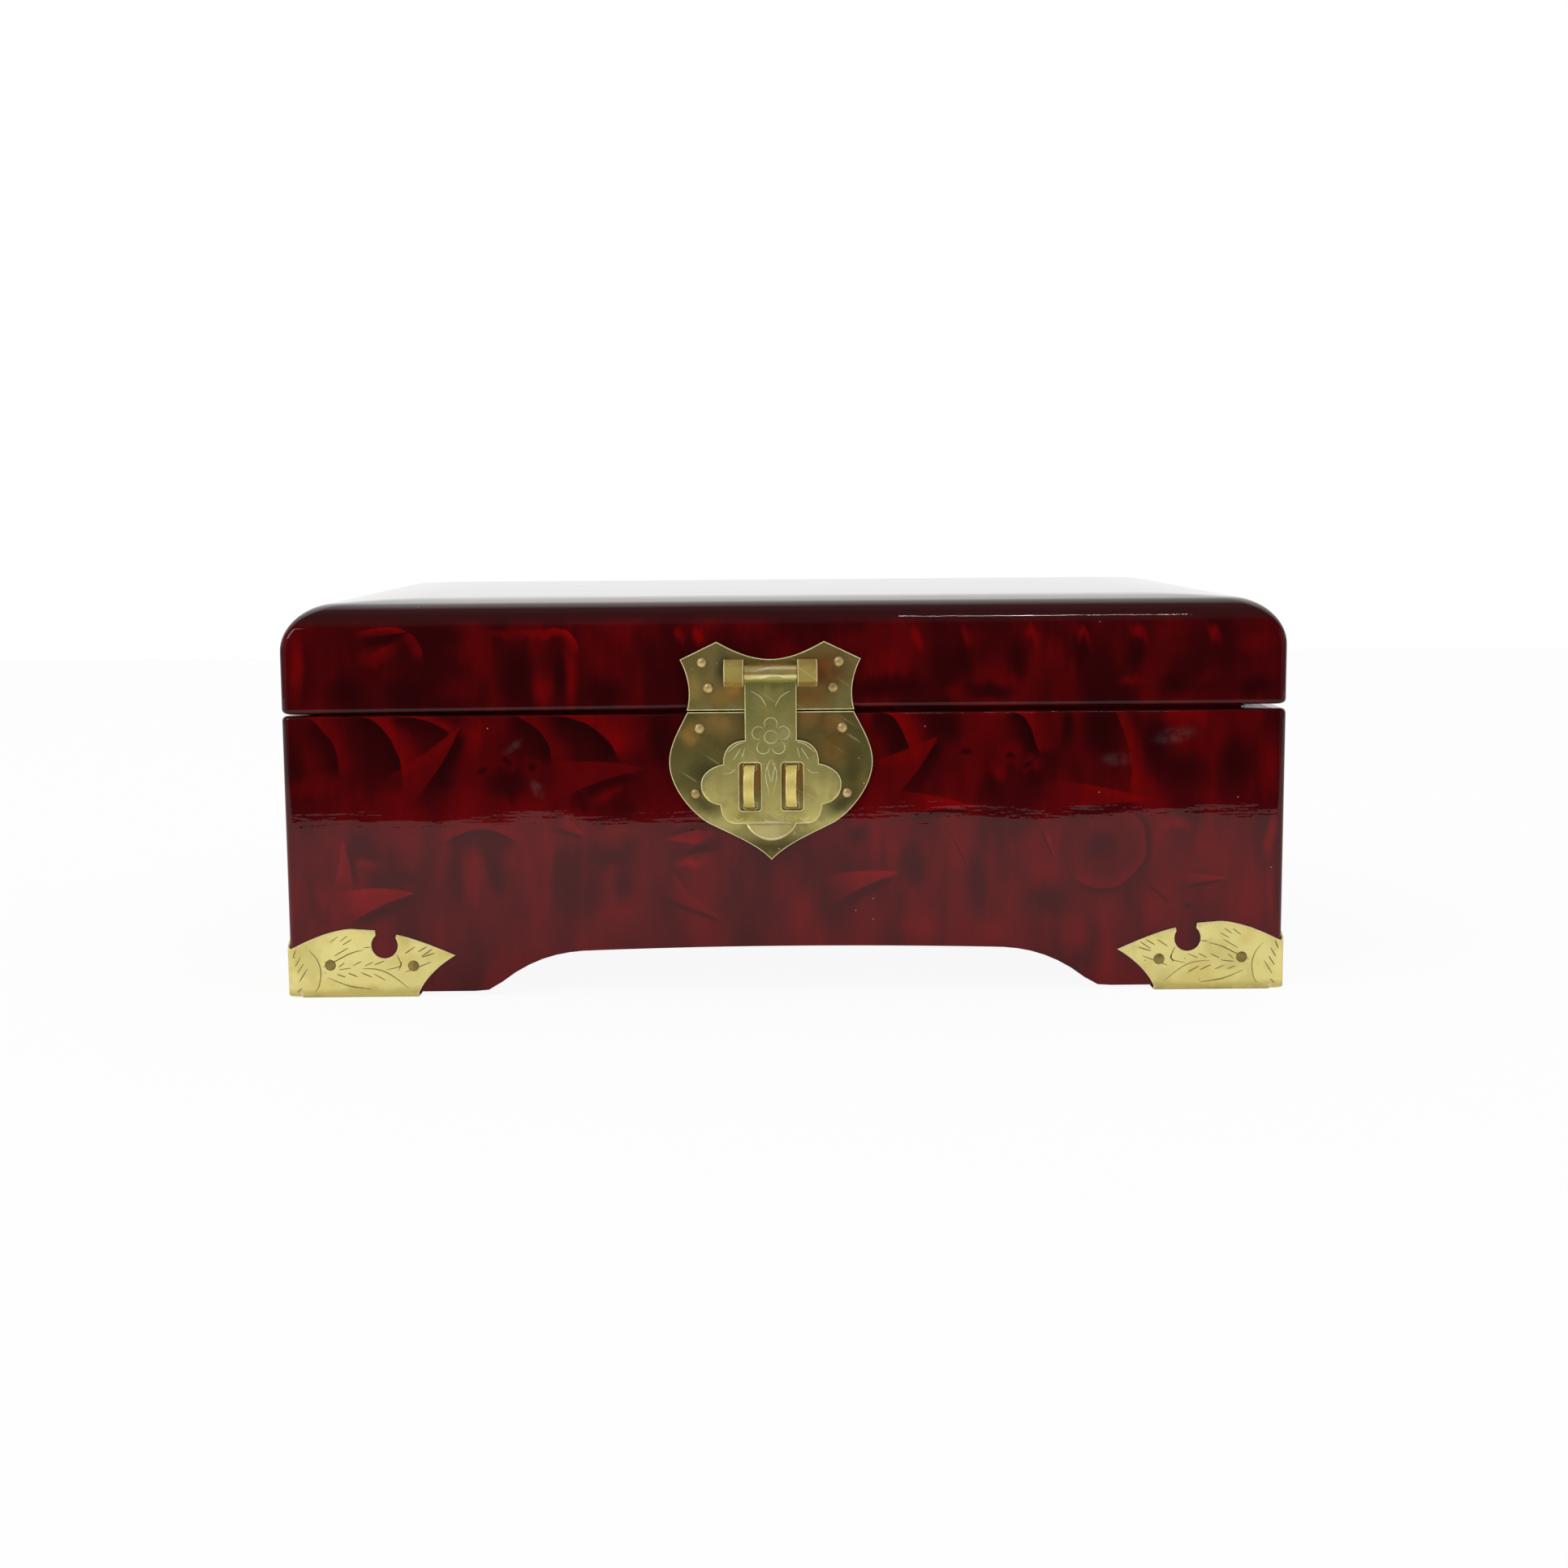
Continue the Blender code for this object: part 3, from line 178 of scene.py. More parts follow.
# Hasp, its pin and lugs, and the staples
HASP_SHEET = 0.0008
HASP_HALF_WIDTH = 0.01745
HASP_DROP = 0.0375
STRAP_SHARE = 0.369
CLOUD_SHARES = (
    (STRAP_SHARE, 0.443),
    ((0.547, 0.443), (0.680, 0.497), (0.680, 0.584)),
    (0.680, 0.600),
    ((0.814, 0.611), (1.0, 0.654), (1.0, 0.735)),
    ((1.0, 0.816), (0.884, 0.865), (0.727, 0.873)),
    ((0.721, 0.930), (0.674, 0.995), (0.512, 1.0)),
    (0.355, 1.0),
    ((0.330, 1.062), (0.170, 1.125), (0.0, 1.125)),
)
TAB_ANGLE_DEG = 40.0
TAB_FOLD_RADIUS = 0.0013
TAB_FOLD_STEPS = 6
ROLL_RADIUS = 0.0021
ROLL_TURN_DEG = 298.0
ROLL_STEPS = 28
SLOT_WIDTH = 0.00535
SLOT_HEIGHT = 0.0120
SLOT_SPACING = 0.01045
SLOT_DROP = 0.0282
SLOT_CORNER = 0.0008
LUG_HALF_HEIGHT = 0.00345
LUG_FACE_HALF_HEIGHT = 0.0019
LUG_STRAP = 0.0009
LUG_WAIST_SHARES = (0.90, 0.35)
PIN_BORE = 0.0013
PIN_EASE = 0.0003
PIN_END_SHARES = ((0.0, 1.0), (0.3, 0.3), (1.0, 0.0))
STAPLE_STRAP = 0.0010
STAPLE_CLEARANCE = 0.0002
STAPLE_TWIST_DEG = -5.0
STAPLE_STEPS = 24
HASP_STROKE_WIDTH = 0.00021
BLOSSOM_SHARE = 0.421
PETAL_RADIUS = 0.0016
PETAL_REACH = 0.0032
PETALS = 5
PETAL_HALF_SWEEP = math.pi * 0.70
HASP_STROKE_SHARES = (
    ((0.292, 0.113), (0.143, 0.155), (0.054, 0.227)),
    ((0.0, 0.561), (0.08, 0.669), (0.012, 0.827)), ((0.063, 0.603), (0.0, 0.733)),
    ((0.636, 0.528), (0.487, 0.472), (0.367, 0.453)), ((0.544, 0.581), (0.413, 0.483)),
    ((0.413, 0.565), (0.367, 0.483)), ((0.693, 0.659), (0.585, 0.659), (0.487, 0.627)),
    ((0.55, 0.952), (0.47, 0.976), (0.39, 0.957)),
)

# Rear hinges
HINGE_SHEET = 0.0008
HINGE_ROLL_RADIUS = 0.0020
HINGE_KNUCKLES = 5
HINGE_LEAF_LENGTH = 0.0150
HINGE_LEAF_CORNER = 0.0030
KNUCKLE_GAP = 0.0003
HINGE_NAIL_SHARES = ((-0.62, 0.64), (0.62, 0.64))

# Cloth-covered boards and pads
BOARD_EDGE = 0.0007
BOARD_PITCH = 0.0015
BOARD_END_SHARES = ((0.0, 1.0), (0.3, 0.3), (1.0, 0.0))
LINING_ROUND = 0.0011
LINING_CORNER = 0.0008
SLAB_CORNER = 0.0008
NOTCH_HALF_WIDTH = 0.0120
NOTCH_DEPTH = 0.0080
PAD_SLOPE = 0.0110
PAD_CORNER = 0.0060
PAD_FOOT_ROWS = ((0.0006, 0.0), (0.0, 0.22), (0.0003, 0.42))
PAD_RISE = 0.55
PAD_STEPS = 8
PAD_MIDDLE_ROWS = ((PAD_SLOPE * 2.2, 0.985), (PAD_SLOPE * 4.0, 1.0))
PAD_PUCKER = 0.08
PAD_PUCKER_WAVES = (310.0, 127.0)
PAD_PUCKER_SHARES = (0.3, 0.95)
RING_ROLLS = 5
ROLL_SIDES = 18
ROLL_STATIONS = 96
ROLL_VALLEY_SHARE = 0.45
ROLL_END_RUN = 0.0090
ROLL_END_SHARE = 0.70
ROLL_END_POWER = 0.6
ROLL_CROWN_POWER = 0.7
ROLL_RIPPLE = 0.012
ROLL_RIPPLE_WAVES = (520.0, 173.0)
ROLL_FULLNESS = 0.985
CUSHION_SMOOTH_DEG = 60.0

# Mirror frame
FRAME_WIDTH = 0.0100
FRAME_INSET = 0.0005
FRAME_REBATE = 0.0030
FRAME_ROUND = 0.0022
FRAME_INNER_SHARE = 0.45
FRAME_CORNER = 0.0005

# Places on the front are in millimetres; the flat pattern's height there is less by half the depth
MILLIMETRE = 0.001
FRONT_SHIFT = -0.09

# Stains on the clasp, and on the hasp also painted highlights: (x, z, half width, half height, turn, tint),
# in millimetres on the front
UPPER_STAINS = (
    (-14.9, 82.0, 2.4, 4.4, 10, (0.09, 0.085, 0.045)), (-14.5, 75.2, 7.0, 2.4, 0, (0.50, 0.29, 0.07)),
    (-12.8, 76.6, 1.8, 1.2, 0, (0.74, 0.36, 0.08)), (-4.0, 83.0, 6.0, 0.8, 0, (0.62, 0.34, 0.08)),
    (9.5, 81.5, 7.5, 5.6, 0, (0.32, 0.105, 0.022)), (6.0, 75.0, 6.0, 2.4, 0, (0.33, 0.15, 0.032)),
    (-22.5, 77.5, 2.4, 3.4, 0, (0.66, 0.45, 0.12)),
)
LOWER_STAINS = (
    (-16.9, 69.0, 5.5, 3.4, 0, (0.50, 0.31, 0.085)), (-20.3, 56.0, 4.0, 3.6, 0, (0.10, 0.092, 0.035)),
    (-12.6, 51.2, 2.6, 2.2, 0, (0.46, 0.29, 0.08)), (6.9, 69.6, 5.4, 3.2, 0, (0.36, 0.19, 0.05)),
    (12.2, 68.6, 2.6, 2.6, 0, (0.56, 0.30, 0.08)), (12.2, 62.5, 5.4, 5.4, 0, (0.31, 0.17, 0.04)),
    (16.6, 57.0, 2.6, 7.0, 0, (0.12, 0.10, 0.028)), (7.0, 50.8, 3.2, 2.2, 0, (0.12, 0.11, 0.04)),
    (-8.5, 56.7, 3.2, 6.6, 0, (0.55, 0.24, 0.05)), (1.9, 56.7, 3.2, 6.6, 0, (0.55, 0.24, 0.05)),
    (-3.5, 44.6, 4.6, 1.6, 0, (0.15, 0.12, 0.04)), (-23.6, 66.0, 3.0, 3.4, 0, (0.58, 0.33, 0.075)),
    (-20.6, 48.2, 4.6, 2.4, -35, (0.12, 0.10, 0.028)), (14.0, 48.2, 5.2, 2.6, 35, (0.085, 0.07, 0.02)),
)
HASP_STAINS_AND_HIGHLIGHTS = (
    # Painted highlights: the thin bands at heights 82.2 and 80.4 on the roll and 43.7 on the tab's fold, and
    # the patch at 41.6 that paints the tab lighter, as lit
    (-3.6, 76.6, 4.0, 3.0, 0, (0.48, 0.43, 0.13)), (-3.6, 82.2, 7.0, 0.35, 0, (1.0, 0.95, 0.66)),
    (-3.6, 80.4, 7.0, 0.30, 0, (1.0, 0.90, 0.50)), (-3.6, 43.7, 6.0, 0.30, 0, (1.0, 0.95, 0.62)),
    (-1.0, 66.0, 2.6, 4.0, 0, (0.62, 0.57, 0.22)), (9.0, 52.5, 2.4, 2.0, 0, (0.85, 0.70, 0.26)),
    (-7.8, 71.8, 2.0, 2.6, 0, (0.38, 0.37, 0.12)), (-11.0, 45.4, 3.6, 2.0, 0, (0.46, 0.38, 0.08)),
    (-3.8, 41.6, 6.5, 2.2, 0, (1.0, 0.86, 0.38)),
)


class Graph:
    """A material or world whose shader nodes are added and linked by value."""

    def __init__(self, name, kind="Material"):
        self.owner = (bpy.data.worlds if kind == "World" else bpy.data.materials).new(name)
        self.owner.use_nodes = True
        self.tree = self.owner.node_tree
        self.tree.nodes.clear()
        self.output = self.tree.nodes.new("ShaderNodeOutput" + kind)

    def add(self, kind, settings=None, **inputs):
        node = self.tree.nodes.new("ShaderNode" + kind)
        for key, value in (settings or {}).items():
            setattr(node, key, value)
        for key, value in inputs.items():
            self.feed(value, node.inputs[key.replace("_", " ")])
        return node

    def feed(self, value, socket):
        """Links a socket's output, or sets a plain number, colour or vector."""
        if isinstance(value, bpy.types.NodeSocket):
            self.tree.links.new(value, socket)
        elif isinstance(value, (tuple, list)) and len(value) == 3 and socket.type == "RGBA":
            socket.default_value = (*value, 1.0)
        else:
            socket.default_value = value

    def fed(self, kind, settings, inputs, values, output=0):
        """A node's output, its numbered inputs fed in order."""
        node = self.add(kind, settings)
        for number, value in zip(inputs, values):
            self.feed(value, node.inputs[number])
        return node.outputs[output]

    def math(self, operation, a, b=0.0, c=0.0):
        return self.fed("Math", {"operation": operation}, (0, 1, 2), (a, b, c))

    def plus(self, a, b):
        return self.math("ADD", a, b)

    def minus(self, a, b):
        return self.math("SUBTRACT", a, b)

    def times(self, first, *others):
        for other in others:
            first = self.math("MULTIPLY", first, other)
        return first

    def vector(self, operation, a, b=(0.0, 0.0, 0.0), scale=1.0):
        output = "Value" if operation == "LENGTH" else "Vector"
        return self.fed("VectorMath", {"operation": operation}, (0, 1, 3), (a, b, scale), output)

    def length(self, vector):
        return self.vector("LENGTH", vector)

    def scaled(self, vector, scale):
        return self.vector("SCALE", vector, scale=scale)

    def moved(self, vector, shift):
        return self.vector("ADD", vector, shift)

    def turned(self, vector, angle):
        """The vector turned round Z."""
        node = self.add("VectorRotate", {"rotation_type": "Z_AXIS"}, Vector=vector, Angle=angle)
        return node.outputs[0]

    def split(self, vector):
        node = self.add("SeparateXYZ", Vector=vector)
        return node.outputs[0], node.outputs[1], node.outputs[2]

    def join(self, x, y, z):
        return self.add("CombineXYZ", X=x, Y=y, Z=z).outputs[0]

    def band(self, value, low, high, start=0.0, end=1.0):
        """A smooth step from start to end as value goes from low to high."""
        smooth = {"interpolation_type": "SMOOTHSTEP"}
        return self.fed("MapRange", smooth, range(5), (value, low, high, start, end))

    def mix(self, share, a, b):
        """Numbers a and b blended by a share."""
        return self.fed("Mix", {"data_type": "FLOAT"}, (0, 2, 3), (share, a, b))

    def paint(self, share, a, b):
        """Colours a and b blended by a share."""
        return self.fed("Mix", {"data_type": "RGBA"}, (0, 6, 7), (share, a, b), 2)

    def patch_place(self, place, centre, half, turn_deg):
        """The place measured from a centre along turned axes, in units of the half sizes."""
        turn = (0.0, 0.0, math.radians(turn_deg))
        node = self.add("Mapping", {"vector_type": "TEXTURE"}, Vector=place,
                        Location=(*centre, 0.0), Rotation=turn, Scale=(*half, 1.0))
        return node.outputs[0]

    def noise(self, place, scale, detail=2.0, rough=0.5, stretch=(1.0, 1.0, 1.0)):
        stretched = self.vector("MULTIPLY", place, stretch)
        node = self.add("TexNoise", Vector=stretched, Scale=scale, Detail=detail, Roughness=rough)
        return node.outputs[0]

    def wander(self, place, scale, detail):
        """A noise of three numbers."""
        return self.add("TexNoise", Vector=place, Scale=scale, Detail=detail).outputs["Color"]

    def cells(self, place, scale, shift=(0.0, 0.0, 0.0)):
        """Voronoi cells: the place within the cell in cell sizes, and three random numbers."""
        moved = self.moved(self.scaled(place, scale), shift)
        node = self.add("TexVoronoi", {"voronoi_dimensions": "2D"}, Vector=moved, Scale=1.0)
        local = self.vector("SUBTRACT", moved, node.outputs["Position"])
        return local, self.split(node.outputs["Color"])

    def bump(self, height, distance, strength=1.0, under=None):
        node = self.add("Bump", Height=height, Distance=distance, Strength=strength)
        if under is not None:
            self.feed(under, node.inputs["Normal"])
        return node.outputs[0]

    def ramp(self, value, stops):
        node = self.add("ValToRGB", Fac=value)
        elements = node.color_ramp.elements
        while len(elements) < len(stops):
            elements.new(0.5)
        for element, (place, colour) in zip(elements, stops):
            element.position = place
            element.color = (*colour, 1.0)
        return node.outputs[0]

    def show(self, shader):
        self.feed(shader.outputs[0], self.output.inputs["Surface"])
        return self.owner

    def shade(self, **inputs):
        return self.show(self.add("BsdfPrincipled", None, **inputs))

    def object_place(self):
        return self.add("TexCoord").outputs["Object"]


# Lacquer tones, from the darkest smoke to the clear red
LACQUER_STOPS = (
    (0.00, (0.0125, 0.0005, 0.0010)),
    (0.30, (0.0330, 0.0007, 0.0014)),
    (0.62, (0.0760, 0.0008, 0.0014)),
    (1.00, (0.1500, 0.0009, 0.0010)),
)

# The front's pattern, in millimetres across from the middle and up from the table.
# Leaves: tip, root, half width, bend, tone
LEAF_SHARE = 0.85
FRONT_LEAVES = (
    (-79.3, 68.0, -99.0, 49.0, 4.4, 0.3, 0.78), (-34.5, 58.6, -62.0, 54.2, 4.4, -0.3, 0.72),
    (-110.0, 40.5, -111.0, 24.0, 2.5, 0.3, 0.74), (-92.8, 27.8, -114.0, 22.5, 4.0, -0.4, 0.92),
    (-50.3, 40.3, -58.0, 46.0, 2.2, 0.2, 0.68), (-31.0, 39.8, -15.0, 40.0, 2.6, 0.2, 0.74),
    (-22.3, 21.5, -30.0, 32.0, 0.9, 0.2, 0.66), (38.8, 64.2, 21.0, 51.5, 5.4, 0.2, 0.82),
    (92.0, 48.8, 64.0, 50.2, 3.6, -0.2, 0.78), (48.0, 47.4, 26.0, 48.6, 2.8, -0.2, 0.92),
    (28.5, 31.6, 8.0, 26.0, 3.4, -0.3, 0.84), (67.5, 33.5, 64.0, 43.5, 0.8, 0.2, 0.84),
    (46.5, 30.5, 40.5, 43.0, 0.5, 0.2, 0.62), (111.5, 28.7, 96.0, 28.0, 1.6, -0.2, 0.74),
    (97.5, 21.5, 90.0, 30.0, 1.0, 0.2, 0.60), (-92.0, 92.6, -106.0, 88.4, 1.7, 0.2, 0.04),
    (-26.5, 35.3, -15.0, 38.6, 1.4, 0.2, 0.04), (-15.5, 18.5, -33.0, 28.6, 2.0, 0.2, 0.60),
)
# Folds: centre, radius of the crisp edge, then depth and tone inside it and outside it, and angles
FOLD_EDGE = 0.35
FRONT_FOLDS = (
    (-127.0, 57.0, 16.3, 8.0, 0.14, 6.0, 0.70, -8.0, 62.0),
    (-113.0, 56.0, 17.4, 8.0, 0.06, 9.0, 0.78, -20.0, 78.0),
    (-97.0, 52.0, 19.6, 5.0, 0.10, 4.0, 0.86, 42.0, 95.0),
    (-70.0, 56.0, 15.9, 5.0, 0.02, 0.0, 0.0, 130.0, 200.0),
    (-71.0, 59.0, 12.7, 6.5, 0.08, 7.0, 0.66, -5.0, 78.0),
    (-59.0, 52.0, 19.2, 8.0, 0.04, 12.0, 0.84, 20.0, 92.0),
    (-35.0, 41.0, 17.7, 3.0, 0.03, 0.0, 0.0, 96.0, 150.0),
    (-99.5, 84.5, 10.0, 3.6, 0.78, 0.0, 0.0, -10.0, 135.0),
    (-57.5, 87.0, 6.5, 2.8, 0.90, 0.0, 0.0, -20.0, 112.0),
    (15.0, 58.0, 16.3, 9.0, 0.08, 8.0, 0.84, 5.0, 65.0),
    (60.0, 35.0, 35.7, 2.8, 0.02, 0.0, 0.0, 124.0, 152.0),
    (46.5, 59.0, 16.3, 4.5, 0.03, 8.0, 0.76, 0.0, 54.0),
    (60.0, 57.0, 25.8, 0.0, 0.0, 4.5, 0.76, -18.0, 38.0),
    (-109.0, 44.0, 22.9, 0.0, 0.0, 2.8, 0.03, -97.0, -40.0),
    (79.5, 37.0, 10.5, 4.5, 0.58, 3.0, 0.20, -150.0, 70.0),
    (-76.0, 24.0, 18.0, 10.0, 0.10, 4.0, 0.58, 55.0, 128.0),
)
# Patches: place, half sizes, turn in degrees, tone. They cover most of what lies under them.
# A comb drags their outlines, and more so where one is tall for its width.
PATCH_SHARE = 0.88
PATCH_FLOOR = 0.07
PATCH_REACH = 1.2
ROUND_COMB = 0.0035
TALL_COMB = 0.0085
TALL_SHARE = 1.6
FRONT_PATCHES = (
    (-120.6, 83.0, 1.6, 10.0, 0, 0.95), (-114.5, 84.0, 5.0, 9.0, 0, 0.50), (-108.5, 77.0, 5.5, 5.5, 0, 0.03),
    (-101.0, 86.5, 5.0, 3.2, 20, 0.78), (-93.5, 76.5, 6.5, 4.5, 0, 0.05), (-85.5, 91.5, 7.0, 5.0, 0, 0.10),
    (-75.5, 86.0, 2.9, 9.0, 0, 0.62), (-80.0, 77.5, 6.0, 4.5, 0, 0.52), (-66.0, 80.0, 4.8, 9.0, 0, 0.03),
    (-66.0, 92.0, 9.0, 2.0, 0, 0.60), (-60.0, 92.3, 6.0, 1.6, 0, 0.86), (-52.9, 81.0, 2.1, 9.5, 2, 0.80),
    (-56.0, 80.0, 1.9, 8.0, 0, 0.00), (-60.1, 77.5, 2.7, 5.5, 0, 0.82), (-44.5, 76.0, 6.0, 4.0, 0, 0.05),
    (-45.0, 86.0, 6.0, 6.0, 0, 0.50), (-36.5, 80.0, 1.4, 9.0, 0, 0.52), (-26.2, 91.0, 1.4, 2.6, 0, 0.78),
    (-21.5, 90.5, 1.7, 3.2, 0, 1.00), (20.0, 88.0, 8.0, 4.0, 0, 0.50), (25.0, 77.0, 11.0, 3.6, 0, 0.10),
    (32.4, 89.8, 1.5, 4.2, 14, 0.86), (45.1, 90.2, 1.4, 4.0, 16, 0.74), (44.5, 83.5, 3.2, 5.0, 0, 0.04),
    (61.4, 90.0, 1.5, 4.0, 14, 0.86), (58.0, 84.5, 3.2, 6.0, 0, 0.05), (66.0, 85.0, 3.0, 4.5, 0, 0.56),
    (74.1, 90.2, 1.4, 3.8, 18, 0.84), (73.5, 85.0, 3.0, 5.0, 0, 0.03), (87.5, 90.8, 1.7, 3.8, 26, 0.82),
    (87.0, 84.5, 2.8, 4.2, 0, 0.06), (95.5, 85.5, 6.0, 3.4, 0, 0.50), (106.5, 90.4, 1.6, 3.6, 16, 0.86),
    (118.0, 87.5, 6.0, 3.6, 0, 0.55), (51.0, 76.5, 7.5, 2.4, 0, 0.06), (97.0, 76.5, 4.0, 3.6, 0, 0.10),
    (86.5, 78.0, 4.0, 1.5, 0, 0.64), (117.0, 76.5, 6.0, 3.0, 0, 0.08), (42.0, 76.3, 2.6, 2.0, 0, 0.58),
    (105.0, 79.0, 3.4, 1.7, 30, 0.50), (-118.0, 53.5, 9.0, 3.0, 8, 0.56), (-77.2, 65.8, 3.4, 6.0, 0, 0.76),
    (-75.5, 57.0, 3.4, 3.0, 0, 0.56), (-69.5, 59.3, 3.2, 3.0, 0, 0.60), (-63.0, 57.8, 3.2, 3.0, 0, 0.56),
    (-75.6, 57.0, 1.4, 0.9, 0, 0.02), (-69.5, 59.5, 1.4, 1.1, 0, 0.02), (-63.0, 57.8, 1.4, 1.1, 0, 0.02),
    (-70.0, 53.8, 5.5, 4.0, 0, 0.05), (-31.0, 66.5, 3.4, 8.0, 0, 0.06), (-51.0, 48.5, 2.6, 3.4, 0, 0.04),
    (-44.0, 51.2, 5.0, 2.3, 20, 0.58), (-40.0, 47.4, 3.8, 1.5, 0, 0.03), (-28.5, 52.0, 6.0, 6.0, 0, 0.42),
    (-105.8, 38.0, 3.2, 3.6, 0, 0.00), (-104.5, 33.3, 3.2, 1.6, 0, 0.60), (-115.6, 25.0, 1.2, 5.0, 30, 0.50),
    (-97.0, 30.4, 5.5, 1.6, 8, 0.08), (-82.5, 31.0, 3.0, 9.0, 2, 0.02), (-73.0, 33.0, 2.6, 7.0, 0, 0.04),
    (-55.3, 30.0, 3.8, 9.0, -3, 0.02), (-41.0, 28.0, 3.0, 6.0, 0, 0.08), (-77.3, 31.0, 1.4, 8.0, 0, 0.56),
    (-64.5, 31.0, 2.2, 10.0, 5, 0.56), (-42.0, 41.2, 7.5, 3.2, 5, 0.60), (-44.0, 35.0, 5.5, 2.2, 0, 0.06),
    (-23.5, 33.8, 4.5, 1.6, 0, 0.76), (17.5, 40.4, 3.2, 3.0, 0, 0.00), (22.4, 43.0, 1.3, 4.5, 0, 0.60),
    (32.0, 33.0, 4.2, 6.0, 0, 0.04), (47.5, 28.0, 3.2, 11.0, 0, 0.10), (66.0, 23.0, 8.0, 6.0, 0, 0.10),
    (34.0, 17.0, 5.0, 5.0, 0, 0.68), (52.0, 16.0, 5.0, 5.0, 0, 0.60), (73.0, 14.0, 4.0, 5.0, 0, 0.58),
    (79.5, 37.0, 4.6, 4.0, 0, 0.00), (96.5, 42.6, 5.0, 1.8, -8, 0.70), (106.5, 34.5, 4.2, 4.6, 30, 0.56),
    (121.8, 39.0, 1.5, 6.0, 0, 0.78), (121.6, 25.0, 1.1, 7.0, 0, 0.60), (101.0, 21.6, 1.3, 0.9, 0, 0.02),
    (104.4, 16.9, 1.5, 1.1, 0, 0.02), (40.5, 68.0, 4.6, 5.0, 0, 0.05), (49.0, 68.5, 4.6, 4.0, 0, 0.62),
    (45.0, 61.6, 4.2, 3.0, 0, 0.60), (45.0, 61.2, 1.9, 1.0, 0, 0.05), (56.2, 61.6, 3.8, 3.2, 0, 0.64),
    (56.0, 60.7, 1.5, 0.9, 0, 0.05), (60.8, 57.8, 3.6, 2.8, 0, 0.56), (60.0, 57.5, 1.5, 0.9, 0, 0.04),
    (53.0, 57.0, 1.9, 3.6, -20, 0.74), (51.5, 51.8, 3.6, 4.2, 0, 0.06), (61.5, 54.0, 2.3, 2.4, 0, 0.06),
    (70.3, 66.0, 1.8, 6.0, 0, 0.08), (73.3, 64.0, 1.1, 7.5, 0, 0.54), (78.5, 65.5, 5.2, 6.5, 0, 0.06),
    (92.6, 62.5, 3.8, 8.0, 0, 0.07), (98.5, 55.0, 7.5, 6.0, 0, 0.08), (99.8, 69.2, 7.5, 3.3, 0, 0.82),
    (107.2, 58.5, 1.2, 10.0, 0, 0.58), (112.6, 57.0, 5.2, 11.0, 0, 0.03), (120.6, 57.0, 3.0, 10.0, 0, 0.64),
)
# Pale smudges in the gloss: place, half sizes and turn
SMUDGES = (
    (-67.5, 63.0, 2.8, 1.1, 35), (-62.0, 52.6, 1.6, 2.8, 25),
    (82.4, 58.6, 3.6, 2.0, 0), (97.0, 64.6, 5.5, 2.2, 12),
)
# Panels of the front, each with its own part of the pattern: left, right, lower and upper edge
SPLIT = -3.6
SEAM = 73.0
FRONT_PANELS = {
    "lid": (-200.0, 200.0, SEAM, 100.0),
    "left": (-200.0, SPLIT, 0.0, SEAM),
    "right": (SPLIT, 200.0, 0.0, SEAM),
}
# A face belongs to them if it faces forwards, lies in front, and ends where the top begins
FRONT_FACING = -0.5
FRONT_DEPTH = -0.080
FRONT_TOP = 0.0112


def unwrapped(g):
    """A flat place over the box: along the front and over the top, and along each side."""
    coordinates = g.add("TexCoord")
    x, y, z = g.split(coordinates.outputs["Object"])
    facing = g.math("ABSOLUTE", g.split(coordinates.outputs["Normal"])[0])
    on_side = g.math("GREATER_THAN", facing, 0.12)
    over = g.plus(z, y)
    around = g.minus(z, g.math("ABSOLUTE", x))
    side_u = g.math("MULTIPLY_ADD", x, 3.0, y)
    return g.join(g.mix(on_side, x, side_u), g.mix(on_side, over, around), 0.0)


def turned_cell(g, flat, scale, shift):
    """The place in a randomly turned cell, and three random numbers of that cell."""
    local, numbers = g.cells(flat, scale, shift)
    u, v, _ = g.split(g.turned(local, g.times(numbers[0], math.tau)))
    return u, v, numbers


def leaf(g, tone, place, bend, level, strength):
    """A pointed leaf on the tone, in a place that counts from -1 at its root to 1 at its tip."""
    along, v, _ = g.split(place)
    v = g.math("MULTIPLY_ADD", g.times(along, along), -bend, v)
    taper = g.math("MULTIPLY_ADD", g.math("MINIMUM", along, 1.0), -0.5, 0.5)
    half = g.times(g.math("POWER", taper, 0.8), 1.25)
    root = g.times(g.band(along, -1.0, 0.0), strength)
    beside = g.minus(g.times(half, 1.4), g.math("ABSOLUTE", g.plus(v, 0.55)))
    tone = g.mix(g.times(g.band(beside, 0.0, 0.5), root, 0.75), tone, 0.04)
    inside = g.band(g.minus(half, g.math("ABSOLUTE", v)), 0.0, 0.13)
    glow = g.times(g.band(v, -1.0, 0.4, 0.85, 1.0), level)
    return g.mix(g.times(inside, root), tone, glow)


def leaves(g, flat, tone, scale, shift, length, width, strength):
    """Leaves scattered one to a cell, in some of the cells."""
    u, v, (_, chance, shade) = turned_cell(g, flat, scale, shift)
    present = g.times(g.math("GREATER_THAN", chance, 0.45), strength)
    place = g.patch_place(g.join(u, v, 0.0), (0.0, 0.0), (length, width), 0)
    return leaf(g, tone, place, width / length * 2, g.mix(shade, 0.40, 0.85), present)


def front_place(g, flat, x, z, half_x, half_z, turn):
    """A patch's own place, from its centre, half sizes and turn on the front."""
    centre = (x * MILLIMETRE, z * MILLIMETRE + FRONT_SHIFT)
    return g.patch_place(flat, centre, (half_x * MILLIMETRE, half_z * MILLIMETRE), turn)


def front_leaf(g, flat, tone, tip_x, tip_z, root_x, root_z, width, bend, level):
    """One leaf between two places on the front."""
    run, rise = tip_x - root_x, tip_z - root_z
    middle = ((tip_x + root_x) / 2, (tip_z + root_z) / 2)
    turn = math.degrees(math.atan2(rise, run))
    place = front_place(g, flat, *middle, math.hypot(run, rise) / 2, width, turn)
    return leaf(g, tone, place, bend, level, LEAF_SHARE)


